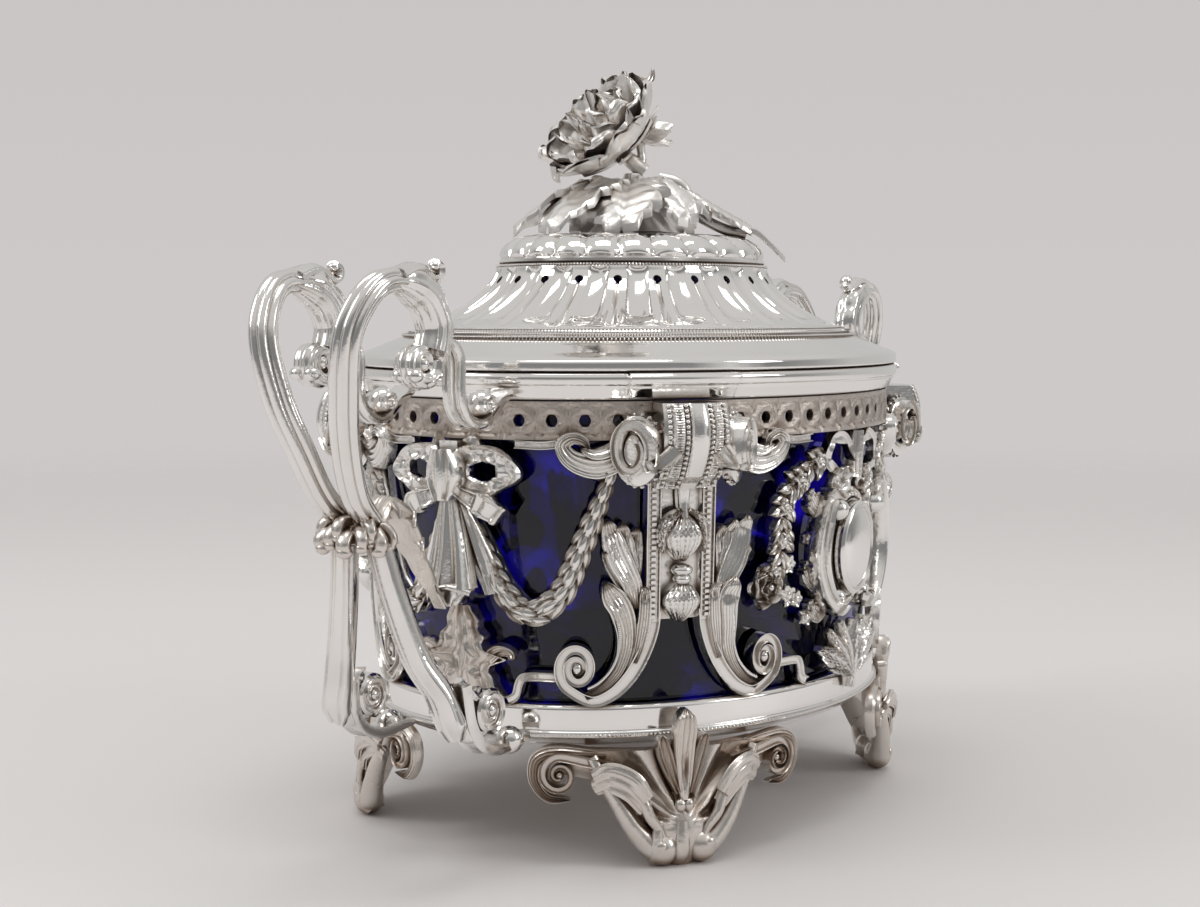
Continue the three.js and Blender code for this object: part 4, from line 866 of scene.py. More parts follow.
def drillLid(piece, look):
    # one drill, copied round the band, cut out of the lid
    bpy.ops.object.select_all(action="DESELECT")
    r, z = bandCurve(look, look["holeShare"])
    rLow, zLow = bandCurve(look, look["holeShare"] - 0.03)
    drills = []
    for n in range(look["flutes"]):
        part = n / look["flutes"]
        spot = lidSpot(look, part, r, z) * mm
        out = (Vector((spot.x, spot.y / look["ratio"] ** 2, 0)).normalized() * (z - zLow)
               + Vector((0, 0, 1)) * (rLow - r))
        bpy.ops.mesh.primitive_cylinder_add(vertices=14, radius=look["holeRadius"] * mm, depth=8 * mm,
                                            location=spot, rotation=out.to_track_quat("Z", "Y").to_euler())
        drills.append(bpy.context.object)
    for drill in drills:
        drill.select_set(True)
    bpy.context.view_layer.objects.active = drills[0]
    bpy.ops.object.join()
    cutter = bpy.context.object
    bpy.ops.object.transform_apply(location=True, rotation=True, scale=True)
    cut = piece.modifiers.new("holes", "BOOLEAN")
    cut.operation = "DIFFERENCE"
    cut.object = cutter
    bpy.ops.object.select_all(action="DESELECT")
    piece.select_set(True)
    bpy.context.view_layer.objects.active = piece
    bpy.ops.object.modifier_apply(modifier=cut.name)
    bpy.data.objects.remove(cutter)
    bpy.ops.object.select_all(action="DESELECT")


def makeDome(look):
    low, high, edge = look["domeBottom"], look["domeTop"], look["domeEdge"]
    outside = [(edge - 0.7, low), (edge, low + 0.5), (edge, low + 1.1), (edge - 0.5, low + 1.5),
               (edge - 0.3, low + 2.2), (edge - 0.8, low + 3.4), (edge - 2.0, low + 4.8),
               (edge - 4.0, low + 5.9), (edge - 7.0, low + 6.7), (edge - 11, low + 7.1), (2.6, high)]
    inside = [(2.6, high - 2.2), (edge - 12, high - 2.6), (edge - 6, low + 4.0), (edge - 3.4, low)]
    profile = [outside[0]]
    for (r0, z0), (r1, z1) in zip(outside, outside[1:]):
        profile += [(r0 + (r1 - r0) * k / 3, z0 + (z1 - z0) * k / 3) for k in (1, 2, 3)]
    piece = turnOval("lid_dome_visual", profile + inside, lidOval(look), look["gadroons"] * 14)
    for vertex in piece.data.vertices:
        reach, z = hypot(vertex.co.x, vertex.co.y / look["ratio"]) / mm, vertex.co.z / mm
        if z < low + 1.5 or reach < edge - 12 or (reach < edge - 5.5 and z < low + 4.2):
            continue
        t = min(1.0, (edge - reach) / 11)
        part = atan2(vertex.co.y / look["ratio"], vertex.co.x) / (2 * pi) % 1
        across = (part * look["gadroons"] + 0.25 * t) % 1 - 0.5
        push = (look["gadroonLift"] * (arch(2 * across) - 0.75)
                * min(1.0, (z - low - 1.4) / 1.2) * (1 - t) ** 0.5)
        scale = 1 + push * 0.7 / reach
        vertex.co.x *= scale
        vertex.co.y *= scale
        vertex.co.z += push * 0.5 * mm
    finishPiece(piece, polishedSilver, "lid_dome", "lid", smooth=0.6)


makeBase(baseLook)
makeRim(rimLook)
makeFrieze(friezeLook)
makeLiner(linerLook)
print("rings and liner made")
makeLid(lidLook)
makeDome(lidLook)
print("lid made")


# Pilasters, drawn once and set at four places

pilasterLook = {
    "halfWidth": 7.8, "strip": 3.4, "thick": 3.2, "channel": 1.4, "foot": 52.0,
    "capitalHalf": 6.4, "capitalOut": 11.0, "capitalFoot": 80.0,
    "voluteOut": 10.6, "voluteStandOff": 6.2, "voluteHalfWidth": 5.4, "voluteHalfHeight": 7.4,
    "voluteTurn": 0.7, "spray": 26.5,
    "highHusk": (74.9, 64.4, 4.6, 5.4), "lowHusk": (60.5, 51.6, 4.3, 5.0),  # top, foot, half width, height
}


def block(shape, centre, size):
    x, y, z = (value / 2 for value in size)
    corners = [(-x, -y, -z), (x, -y, -z), (x, y, -z), (-x, y, -z), (-x * 0.8, -y * 0.8, z),
               (x * 0.8, -y * 0.8, z), (x * 0.8, y * 0.8, z), (-x * 0.8, y * 0.8, z)]
    mergeInto(shape, {"points": corners, "faces": boxFaces}, lambda point: point + Vector(centre))


def drawPilaster(look):
    shape = newShape()
    low, top = look["foot"], body["frieze"][0] - 0.1
    half, strip = look["halfWidth"], look["strip"]
    strap(shape, [(0, low, 0), (0, top, 0)], even(2 * (half - strip) + 1.2),
          lambda t, a: look["channel"], 4, 4)
    for side in (-1, 1):
        middle = side * (half - strip / 2)
        strap(shape, [(middle, low - 0.4, 0), (middle, top, 0)], even(strip),
              moulded(look["thick"], 0.2, 0.34), 6, 16)
        z = low + 0.8
        while z < look["capitalFoot"] + 3:
            block(shape, (middle, z, look["thick"] - 0.42), (1.25, 0.85, 0.75))
            z += 1.22
    drawCapital(shape, look)
    drawHusks(shape, look)
    for side in (-1, 1):
        drawVolute(shape, look, side)
        drawSpray(shape, look, side)
    return shape


def drawCapital(shape, look):
    # console roll: smooth rib in the middle, then milled bands between lines of beads
    top, foot, front = body["frieze"][1] - 0.1, look["capitalFoot"], 2.1

    def bulge(t):
        return look["capitalOut"] * (0.55 + 0.42 * sin(pi * min(1.0, 0.2 + 0.86 * t))
                                     - 0.2 * max(0.0, t - 0.85) / 0.15)

    def relief(t, a):
        far = abs(a)
        lift = bulge(t) * (0.80 + 0.20 * cos(a * 1.25))
        if far < 0.26:
            return lift + 0.75 * arch(far / 0.26)
        if 0.48 < far < 0.70:
            return lift - 0.15 + 0.16 * cos(2 * pi * 34 * t)
        return lift - 0.55 * (1 if 0.28 < far < 0.46 or far > 0.74 else 0)
    strap(shape, [(0, top, front), (0, foot, front)], even(2 * look["capitalHalf"]), relief, 130, 34)
    for a in (-0.37, 0.37, -0.85, 0.85):
        count = 17
        for i in range(count):
            t = (i + 0.5) / count
            z = top + (foot - top) * t
            ball(shape, (a * look["capitalHalf"], z, front + relief(t, a) + 0.25), (0.46, 0.46, 0.42), 5, 8)


def drawHusks(shape, look):
    base = look["channel"] - 0.3

    def husk(zTop, zLow, halfWidth, out):
        profile = swell(1.6, 2 * halfWidth, 2.4)

        def relief(t, a):
            dome = arch(a)
            full = sin(pi * (0.12 + 0.8 * t)) ** 0.7
            rib = 0.20 * cos(pi * 9 * a) + 0.10 * cos(2 * pi * 9 * t) * cos(pi * 9 * a)
            return out * full * (0.25 + 0.75 * dome) + rib * dome + 0.3
        strap(shape, [(0, zTop, base), (0, zLow, base)],
              lambda t: max(profile(t), 2.4 * min(1.0, 8 * t * (1 - t))), relief, 36, 40)
    strap(shape, [(0, 81.5, base + 1.2), (0, 77, base + 1.0), (0, 73.6, base + 1.6)],
          taper(3.2, 2.2), domed(2.6, 0.4), 16, 10)
    husk(*look["highHusk"])
    for z, r in ((62.6, 2.3), (60.7, 1.9)):
        ball(shape, (0, z, base + 2.3), (r, 1.4, 2.3), 8, 16)
    husk(*look["lowHusk"])
    for side in (-1, 1):  # small hooked leaves that hug the big husk
        strap(shape, mirrored(side, [(0.8, 75.4, base + 2), (3.4, 73.4, base + 2.4),
                                     (4.6, 69.6, base + 1.6), (4.4, 66.4, base + 1)]),
              swell(1.0, 2.6, 0.8), veined(2.6, 6), 20, 10)


def voluteMap(look, side):
    turn = look["voluteTurn"]

    def place(a, z, out):
        u = look["voluteOut"] + a * cos(turn) + out * sin(turn)
        w = max(2.4, look["voluteStandOff"] - a * sin(turn) + out * cos(turn))
        return Vector((side * u, z, w))
    return place


def drawVolute(shape, look, side):
    # scroll face at the side of the capital: a thick strip wound round a flat oval eye
    part = newShape()
    middle = (0, body["frieze"][0] - 2)
    wide, tall = look["voluteHalfWidth"], look["voluteHalfHeight"]
    boss(part, middle, [(0, -1.8), (0.98, -1.8), (0.98, 0.3), (0.9, 0.5), (0, 0.3)], wide, tall, 40)
    turns = spiral(middle, wide - 0.9, tall - 1.0, 1.15 * pi, 1.2, 0.46, 40, 0.0, -1)
    strap(part, [(-wide - 3.0, middle[1] + 0.5, -1.6), (-wide - 0.4, middle[1] - 2.2, -0.6)] + turns,
          taper(3.1, 1.7), moulded(2.9, 0.34, 0.34), 120, 14, -0.4)
    boss(part, (middle[0] + 0.2, middle[1]),
         [(0, 0.3), (1.0, 0.3), (1.0, 1.2), (0.84, 1.5), (0.72, 1.1), (0, 1.1)], 2.0, 3.4, 28)
    count = 22
    for i in range(count):  # beads down the outer edge of the roll
        angle = 2 * pi * i / count
        ball(part, (middle[0] + (wide + 0.1) * cos(angle), middle[1] + (tall + 0.1) * sin(angle), -0.9),
             (0.45, 0.45, 0.5), 4, 7)
    mergeInto(shape, part, lambda point: voluteMap(look, side)(*point))


def drawSpray(shape, look, side):
    # breaking wave of acanthus under the frieze, drawn as strands that wrap a hollow
    top = body["frieze"][0]
    out, tip = look["voluteOut"] + 0.6, look["spray"]
    wave = [(out, top - 1.8, 0.8), (out + 3.6, top - 4.6, 0.9), (tip - 7.6, top - 5.4, 0.9),
            (tip - 3.0, top - 3.6, 0.9), (tip - 1.6, top - 0.9, 0.9), (tip - 3.6, top + 0.5, 1.1),
            (tip - 6.0, top - 0.3, 1.2), (tip - 6.8, top - 1.9, 1.0)]
    strap(shape, [(side * u, z, w) for u, z, w in wave],
          roundEnd(along([3.6, 5.4, 6.2, 5.4, 4.0, 2.8, 1.8])), hatched(3.4, 5, 0.07), 110, 30)
    crest = [(out + 0.4, top + 1.6, 1.6), (out + 3.4, top - 1.6, 1.9), (out + 7.4, top - 2.8, 1.9),
             (tip - 5.2, top - 1.6, 1.4)]
    strap(shape, [(side * u, z, w) for u, z, w in crest], roundEnd(along([2.2, 3.2, 3.2, 1.6])),
          hatched(3.0, 3, 0.08), 50, 18)
    strap(shape, mirrored(side, [(tip - 2.4, top - 0.5, 0.4), (tip + 2.4, top - 1.1, 0.4),
                                 (tip + 8.6, top - 0.9, 0.3)]), even(2.0), moulded(2.3, 0.35, 0.45), 20, 12)
    ball(shape, (side * (out + 1.0), top + 1.9, 2.0), (1.5, 1.7, 1.5), 8, 14)


# Scroll legs beside the pilasters, with their leaves and the low bridge

legLook = {
    "foot": 52.0, "thick": 3.0, "centre": (22.2, 42.0), "radius": 4.6,
    "leafTip": (16.0, 72.6), "lobeEnd": 17.0, "lobeSide": 14.1, "lobeTop": 60.4,
    "bridgeOut": 35.0, "bridgeTop": 39.9,
}


def drawLeg(look, lobeOut):
    shape = newShape()
    foot, base = look["foot"], body["base"][1]
    inner, centre = 5.6, look["centre"]
    curl = spiral(centre, look["radius"] - 0.5, look["radius"] * 1.22 - 0.6,
                  -0.30 * pi, 1.66, 0.24, 32, 0.2)
    line = [(inner, foot + 2.2, 0.2), (inner + 0.6, foot - 2, 0.2), (inner + 2.6, foot - 7.4, 0.2),
            (inner + 5.4, foot - 12, 0.2), (inner + 9.2, foot - 15.6, 0.2),
            (inner + 13.4, foot - 17.0, 0.2)] + curl
    strap(shape, line, lambda t: 3.1 + 0.6 * sin(pi * min(1, 2.4 * t)) - 1.2 * t,
          moulded(look["thick"], 0.30, 0.40), 190, 14)
    ball(shape, (centre[0], centre[1], 2.0), (1.2, 1.4, 1.3), 8, 14)
    boss(shape, centre, [(0, 0), (1, 0), (1, 0.9), (0, 0.7)],
         look["radius"] - 1.0, look["radius"] - 0.6, 28)
    # hatched band that climbs from the scroll and opens in a hooded tip
    band = [(centre[0] - 1.8, base + 1.9, 0.4), (inner + 11.1, base + 3.8, 0.5),
            (inner + 7.8, base + 7.4, 0.6), (inner + 6.2, base + 11.8, 0.7),
            (inner + 6.1, base + 15.9, 0.8), ((inner + lobeOut) / 2 + 1.6, base + 20.4, 1.0),
            (lobeOut - 2.0, look["lobeTop"] - 2.6, 1.1), (lobeOut - 0.6, look["lobeTop"], 0.5)]
    drawFrond(shape, band, [1.6, 2.4, 3.3, 3.9, 4.4, 5.2, 5.4, 3.2], 3.1, 7)
    for i, (spot, way) in enumerate(smoothLine(band, 60)):  # line of beads beside the smooth strap
        if 2 < i < 42:
            ball(shape, (spot.x - way.y * -1.5, spot.y + way.x * -1.5, 2.7), (0.42, 0.42, 0.45), 4, 7)
    # slender lobe against the pilaster
    drawFrond(shape, [(inner + 4.2, base + 9.0, 0.6), (inner + 3.2, base + 13, 1.0),
                      (inner + 2.4, base + 18, 1.3), (inner + 2.2, base + 23, 1.2),
                      (inner + 2.4, base + 25.4, 0.6)], [1.2, 2.4, 3.0, 2.8, 2.4], 3.0, 5)
    # fan of lobes above
    tipU, tipZ = look["leafTip"]
    for target, wide, lift in (((tipU - 6.4, tipZ - 0.8), 3.4, 0.6), ((tipU - 3.2, tipZ + 0.2), 4.0, 0.9),
                               ((tipU, tipZ + 0.9), 4.4, 1.2)):
        lobe = [(inner + 3.9, foot + 2.5, 0.3), (inner + 4.9, foot + 7.5, lift),
                ((inner + 5.4 + target[0]) / 2, foot + 13.6, lift), (target[0], target[1], lift * 0.6)]
        drawFrond(shape, lobe, [2.2, wide * 1.0, wide * 1.28, wide * 1.2, wide * 0.6], 2.6, 6)
    drawFrond(shape, [(inner + 5.0, foot + 6.0, 0.4), (inner + 7.6, foot + 9.5, 0.9),
                      (tipU + 0.6, foot + 14.8, 0.7)], [2.0, 3.8, 3.6, 1.6], 2.5, 5)
    high, out = look["bridgeTop"], look["bridgeOut"]
    bridge = [(centre[0] + look["radius"] - 1.2, high, 0), (out - 2.2, high, 0),
              (out - 0.6, high - 0.4, 0), (out + 0.2, high - 1.8, 0), (out + 1.0, base + 1.6, 0),
              (out + 3.0, base + 0.4, 0)]
    strap(shape, bridge, even(2.3), moulded(2.0, 0.3, 0.45), 30, 10)
    return shape


def drawFrond(shape, line, widths, high, lines=6, steps=54):
    # hatched leaf lobe: fine ribs along it, a raised rim and a tip that hoods over
    def relief(t, a):
        dome = sqrt(max(0.0, 1 - 0.9 * a * a))
        rim = peak(abs(a), 0.9, 0.09)
        ribs = cos(pi * lines * a) * (0.8 + 0.2 * cos(2 * pi * 34 * t)) if abs(a) < 0.84 else 0.0
        hood = 0.30 * peak(t, 0.95, 0.05) - 0.22 * peak(t, 0.85, 0.045) * peak(a, 0, 0.45)
        return high * (0.40 + 0.34 * dome + 0.16 * rim + hood) + 0.20 * ribs
    strap(shape, line, roundEnd(along(widths)), relief, steps, 4 * lines)


def drawAcanthus(shape, line, wide, high):
    # leaf of three lobes that part towards the tip
    def drift(amount, cut):
        moved = []
        last = len(line) - 1
        for i, (u, z, w) in enumerate(line):
            before, after = line[max(i - 1, 0)], line[min(i + 1, last)]
            size = max(hypot(after[0] - before[0], after[1] - before[1]), 1e-6)
            wayU, wayZ = (after[0] - before[0]) / size, (after[1] - before[1]) / size
            share = (i / last) ** 0.8
            moved.append((u - (wayZ * amount + wayU * cut) * share,
                          z + (wayU * amount - wayZ * cut) * share, w))
        return moved
    for amount, cut, part in ((wide * 0.36, wide * 0.42, 0.50), (-wide * 0.36, wide * 0.42, 0.50),
                              (0.0, 0.0, 0.58)):
        widths = [wide * 0.34, wide * part, wide * part * 1.1, wide * part * 0.8]
        drawFrond(shape, drift(amount, cut), widths, high, 5, 40)


# Feet: a broad shell that narrows to a split toe, a leaf over the base and two apron scrolls

footLook = {
    "height": 24.7, "kneeReach": -2.7, "toeReach": 4.2, "kneeWidth": 42.0,
    "leafTop": 33.6, "leafReach": 5.4, "apron": 26.0, "apronRadius": 4.0,
}
# rise and half width of the shell
footWidths = [(0.0, 4.4), (0.12, 5.4), (0.36, 10.6), (0.55, 13.6), (0.75, 17.0), (1.0, 21.0)]


def roundBar(shape, line, size, steps=60, around=24):
    # rounded bar drawn flat on the wall; size(t, angle) gives half its width and half its thickness
    rows = []
    for i, (spot, way) in enumerate(smoothLine(line, steps)):
        beside = Vector((-way.y, way.x, 0)).normalized()
        out = way.cross(beside)
        row = []
        for j in range(around):
            angle = 2 * pi * j / around
            half, thick = size(i / steps, angle)
            point = spot + beside * half * cos(angle) + out * thick * sin(angle)
            row.append((point.x, max(0.0, point.y), point.z))
        rows.append(row)
    addRows(shape, rows)


def drawFoot(look):
    shape = newShape()
    top = look["height"]
    level = body["wall"] + body["taper"]
    toe = level + look["toeReach"]
    knots = [(0, top, look["kneeReach"]), (0, top * 0.7, look["kneeReach"] + 0.2),
             (0, top * 0.45, look["kneeReach"] + 1.8), (0, top * 0.28, look["toeReach"] - 3.8),
             (0, 3.8, look["toeReach"] - 4.0), (0, 1.0, look["toeReach"] - 5.0)]
    steps, across = 90, 80
    rows = []
    for i, (spot, way) in enumerate(smoothLine(knots, steps)):
        z = spot.y
        wide = 2 * footHalf(z / top)
        row = []
        for j in range(across + 1):
            a = 1 - 2 * j / across
            row.append(footPoint(spot, way, a * wide / 2,
                                 3.0 * footRelief(a, max(0.0, z / top), a * wide / 2, z), level, top))
        for j in range(17):
            a = -1 + j / 8
            row.append(footPoint(spot, way, a * wide / 2 * 0.97,
                                 2.6 * (1 - 0.95 * a * a) - 2.2, level, top))
        rows.append(row)
    addRows(shape, rows)
    drawFootLeaf(shape, look)
    for side in (-1, 1):
        # C mouldings down both edges: the outer one swells into the toe, the inner one frames the panel
        outer = mirrored(side, [(19.0, top - 1.6, level - 1.6), (16.6, 18.6, level - 0.6),
                                (13.6, 13.6, level + 0.2), (10.8, 9.0, level + 0.6), (7.8, 5.4, toe - 3.6),
                                (5.0, 3.5, toe - 3.4), (3.4, 3.5, toe - 3.2)])
        roundBar(shape, outer, lambda t, angle: (1.5 + 1.7 * t ** 2, 1.7 + 1.5 * t ** 2), 80, 28)
        ball(shape, (side * 4.3, 3.75, toe - 3.3), (3.5, 3.7, 3.5), 16, 28)
        ball(shape, (side * 5.2, 4.6, toe - 0.5), (1.3, 1.3, 0.7), 8, 14)
        inner = mirrored(side, [(13.4, 17.6, level + 1.4), (9.4, 15.4, level + 2.3),
                                (7.4, 11.0, level + 3.0), (5.0, 7.4, toe - 1.6), (3.9, 5.0, toe - 1.2)])
        roundBar(shape, inner, lambda t, angle: (0.2 + 1.0 * (1 - t ** 6), 0.2 + 0.9 * (1 - t ** 6)),
                 60, 18)
        # leaf that curls off the head of the moulding
        for lift, rise in ((0.0, 0.0), (1.2, 2.4)):
            curl = mirrored(side, [(8.2, 12.6 + rise, level + 2.4 + lift),
                                   (11.4, 16.6 + rise, level + 2.4 + lift),
                                   (15.6, 18.2 + rise, level + 1.0 + lift),
                                   (18.4, 16.8 + rise, level - 0.4 + lift)])
            roundBar(shape, curl, lambda t, angle: ((0.8 + 1.3 * sin(pi * (0.2 + 0.6 * t)))
                    * (1 + 0.10 * cos(9 * angle)), 0.9 * (1 + 0.10 * cos(9 * angle))), 40, 36)
    # middle lobes of the toe
    for u, size in ((0.4, 1.9), (5.6, 1.5)):
        roundBar(shape, [(u, 9.6, level + 2.4), (u + 0.2, 6.2, toe - 1.4), (u + 0.3, 3.4, toe - 1.6),
                         (u + 0.3, 1.4, toe - 3.4)], lambda t, angle: (size * (0.7 + 0.4 * t),
                size * (0.6 + 0.4 * t)), 40, 20)
    strap(shape, [(-look["apron"] + 1, top - 2.8, 0.8), (-12, top - 3.8, 1.2), (0, top - 4.2, 1.6),
                  (12, top - 3.8, 1.2), (look["apron"] - 1, top - 2.8, 0.8)],
          along([5.0, 7.4, 8.4, 7.4, 5.0]), lambda t, a: 1.9 + 0.5 * a - 0.9 * (1 - a * a), 60, 14)
    for side in (-1, 1):
        radius, out = look["apronRadius"], look["apron"]
        centre = (out, top - radius - 1.4)
        curl = [(side * u, z, w)
                for u, z, w in spiral(centre, radius, radius, pi / 2, 1.55, 0.22, 26, 1.4, -1)]
        start = mirrored(side, [(look["kneeWidth"] / 2 - 8, top - 4.2, 1.2),
                                (look["kneeWidth"] / 2 - 1, top - 2.4, 1.6)])
        strap(shape, start + curl, taper(2.6, 1.0), moulded(2.8, 0.3, 0.4), 100, 12)
        ball(shape, (side * centre[0], centre[1], 2.6), (1.0, 1.0, 1.1), 6, 12)
        strap(shape, mirrored(side, [(look["kneeWidth"] / 2 - 5, top - 1.2, 1.0),
                                     (out + 2.0, top - 0.9, 1.2), (out + 5.2, top - 2.6, 1.2),
                                     (out + 5.6, top - 6.8, 1.2), (out + 2.6, top - 10.4, 1.2),
                                     (out - 2.4, top - 10.6, 1.2)]),
              roundEnd(along([2.0, 3.0, 3.6, 3.2, 2.2, 1.4])), hatched(2.0, 5, 0.12), 70, 22)
    return shape


def footHalf(rise):
    # half the width of the shell from the floor up
    for (low, narrow), (high, wide) in zip(footWidths, footWidths[1:]):
        if rise <= high:
            share = max(0.0, (rise - low) / (high - low))
            return narrow + (wide - narrow) * share
    return footWidths[-1][1]


def footPoint(spot, way, u, out, level, top):
    z = spot.y + out * way.z
    return u, min(max(z, 0.0), top), level + spot.z - out * way.y


def footRelief(a, rise, u, z):
    # height of the shell: crown, sunk panels with three piercings, and a fan of flutes
    far = abs(a)
    crown = 1.0 - 0.95 * far ** 2.0
    panel = -0.40 * peak(far, 0.70, 0.10) * sin(pi * min(1.0, max(0.0, rise / 0.62)))
    turn = atan2(u, z - 8.0)
    reach = hypot(u, z - 8.0)
    fan = 0.26 * cos(turn * 13) * min(1.0, max(0.0, (reach - 2.0) / 3)) if z > 8.0 and far < 0.74 else 0.0
    holes = 0.0
    for place in (0.24, 0.33, 0.42):
        holes -= 0.7 * peak(far, 0.70, 0.06) * peak(rise, place, 0.024)
    return crown + panel + fan + holes


def drawFootLeaf(shape, look):
    # folded leaf that stands on the shell and laps over the base band
    reach, top = look["leafReach"], look["height"]

    def spoon(t, a):
        dome = arch(a)
        slit = -1.7 * peak(a, 0, 0.30) * peak(t, 0.34, 0.16)
        ribs = 0.20 * cos(pi * 5 * a) * min(1.0, 4 * t)
        return 2.4 * (0.35 + 0.65 * dome) + slit + ribs + 0.8 * peak(t, 0.92, 0.06)
    strap(shape, [(0, top - 10.5, reach - 0.4), (0, top - 5, reach - 0.4), (0, top + 0.6, reach - 0.2),
                  (0, top + 5.4, reach + 0.7), (0, look["leafTop"], reach - 0.3)],
          roundEnd(along([2.0, 3.8, 5.0, 5.6, 4.2]), 0.2), spoon, 60, 28)
    for side in (-1, 1):
        strap(shape, mirrored(side, [(1.2, top - 9, reach - 0.8), (2.8, top - 4, reach - 1.0),
                                     (4.2, top + 0.8, reach - 1.0), (4.8, top + 3.2, reach - 1.0)]),
              roundEnd(along([1.6, 2.9, 3.6, 2.6])), hatched(2.4, 3, 0.16), 40, 16)
        # knob where the flutes of the shell meet
        ball(shape, (side * 0.9, top - 11.6, reach + 1.2), (1.2, 1.5, 1.3), 8, 12)


# Bow, tassel, swags and low leaf on the ends

endLook = {
    "knot": 82.6, "lift": 4.4, "bowOut": 9.4,
    "tasselFoot": 55.0, "tasselHalf": 5.2, "tasselOut": 10.0,
    "swagLow": (15.8, 53.4), "swagTop": (32.6, 81.6), "swagWidth": 7.2, "leafHalf": 9.6, "leafTop": 54.6,
}


def crinkled(height, folds, depth):
    # thin cloth ribbon with turned edges and cross folds
    def relief(t, a):
        return height * (0.55 + 0.35 * abs(a) ** 3) + depth * cos(2 * pi * folds * t) * (0.6 + 0.4 * a)
    return relief


def drawBow(look):
    shape = newShape()
    knot, top, lift = look["knot"], body["frieze"][0] - 0.3, look["lift"]
    for side in (-1, 1):
        drawLoop(shape, side, (7.5, knot + 0.9), lift)
        # ribbon end with a turned frame round its sunk middle
        tail = mirrored(side, [(1.4, knot - 2.6, lift), (4.4, knot - 4.6, lift + 0.3),
                               (7.6, knot - 6.0, lift + 0.8), (11.0, knot - 8.6, lift - 0.2)])
        strap(shape, tail, along([2.0, 3.4, 5.2, 4.2]), framed(2.5, 0.9), 44, 18)
        # cloth that rises behind the knot to the frieze
        strap(shape, mirrored(side, [(0.6, knot + 1.0, lift - 1.2), (2.8, knot + 4.4, lift - 1.4),
                                     (6.0, top - 0.6, lift - 2.4)]), along([2.4, 3.8, 4.6]),
              crinkled(2.8, 2.5, 0.45), 34, 14)
    strap(shape, [(0, top, 0), (0, knot - 4, 0)], even(4.2), lambda t, a: lift + 1.2, 4, 4)
    strap(shape, [(0, top - 1.6, lift), (0, knot, lift + 0.3), (0, knot - 5.2, lift)],
          swell(5.0, 8.0, 4.2), hatched(look["bowOut"] - lift, 3, 0.13), 30, 30)
    drawTassel(shape, look)
    return shape


def framed(high, sink):
    # flat ribbon with raised edges and a raised end
    def relief(t, a):
        frame = max(peak(abs(a), 0.84, 0.12), peak(t, 0.95, 0.05), peak(t, 0.52, 0.05))
        return high - sink + sink * frame + 0.25 * cos(2 * pi * 1.5 * t)
    return relief


def drawLoop(shape, side, centre, lift):
    # crumpled ribbon loop round a six-sided opening
    rows, steps = [], 84
    for i in range(steps):
        angle = 2 * pi * i / steps
        c, s = cos(angle), sin(angle)
        six = 1 / max(cos((angle + pi / 6) % (pi / 3) - pi / 6), 0.1)
        crease = cos(6 * angle + 0.6)
        outer = 1.12 + 0.05 * cos(5 * angle + 1.0) + 0.09 * cos(3 * angle)
        row = []
        for share in (0.0, 0.12, 0.3, 0.5, 0.7, 0.88, 1.0):
            u = c * (3.0 * six * 0.93 * (1 - share) + 6.3 * outer * share)
            z = s * (2.0 * six * 0.93 * (1 - share) + 5.0 * outer * share)
            rims = 1.0 * peak(share, 0.88, 0.12) + 0.7 * peak(share, 0.12, 0.12)
            high = 1.7 + rims + 0.35 * crease * sin(pi * share)
            row.append((side * (centre[0] + u), centre[1] + z, lift - 0.6 + high))
        for share in (1.0, 0.0):
            u = c * (3.0 * six * 0.93 * (1 - share) + 6.3 * outer * share)
            z = s * (2.0 * six * 0.93 * (1 - share) + 5.0 * outer * share)
            row.append((side * (centre[0] + u), centre[1] + z, lift - 0.8))
        rows.append(row)
    addRing(shape, rows)


def drawTassel(shape, look):
    top, foot, lift = look["knot"] - 4.4, look["tasselFoot"], look["lift"]
    high = look["tasselOut"] - lift

    def folds(t, a):
        ridge = 0.75 * cos(pi * 2.6 * a + 0.5) + 0.16 * peak(abs(a + 0.1), 0.55, 0.07)
        return high * (0.5 + 0.42 * t) * (0.55 + 0.45 * arch(a)) + ridge * (0.2 + 0.9 * t)
    strap(shape, [(0, top, lift), (0.2, (top + foot) / 2, lift), (0, foot + 4, lift)],
          lambda t: 3.2 + (2 * look["tasselHalf"] - 3.2) * t ** 0.9, folds, 40, 44)
    # wavy hem that turns back over a rounded lining
    hem = [(-look["tasselHalf"] - 0.1, foot + 4.6, lift + 2.0), (-1.8, foot + 3.4, lift + 4.2),
           (1.2, foot + 4.3, lift + 4.4), (look["tasselHalf"] + 0.2, foot + 3.0, lift + 2.2)]
    strap(shape, hem, even(1.5), domed(1.9, 0.4), 40, 8)
    strap(shape, [(-0.2, foot + 4.6, lift), (0.2, foot + 1.8, lift), (0.6, foot, lift)],
          along([9.6, 8.8, 4.0]), domed(high * 0.80, 0.4), 16, 20)
    for side in (-1, 1):  # cloth that spreads from behind the folds on to the swags
        strap(shape, mirrored(side, [(1.8, top - 0.6, 1.8), (4.2, top - 9, 1.4), (7.0, top - 18, 0.9),
                                     (7.6, foot + 2.4, 0.8)]), along([1.6, 4.6, 6.6, 3.4]),
              hatched(3.2, 3, 0.10), 40, 22)


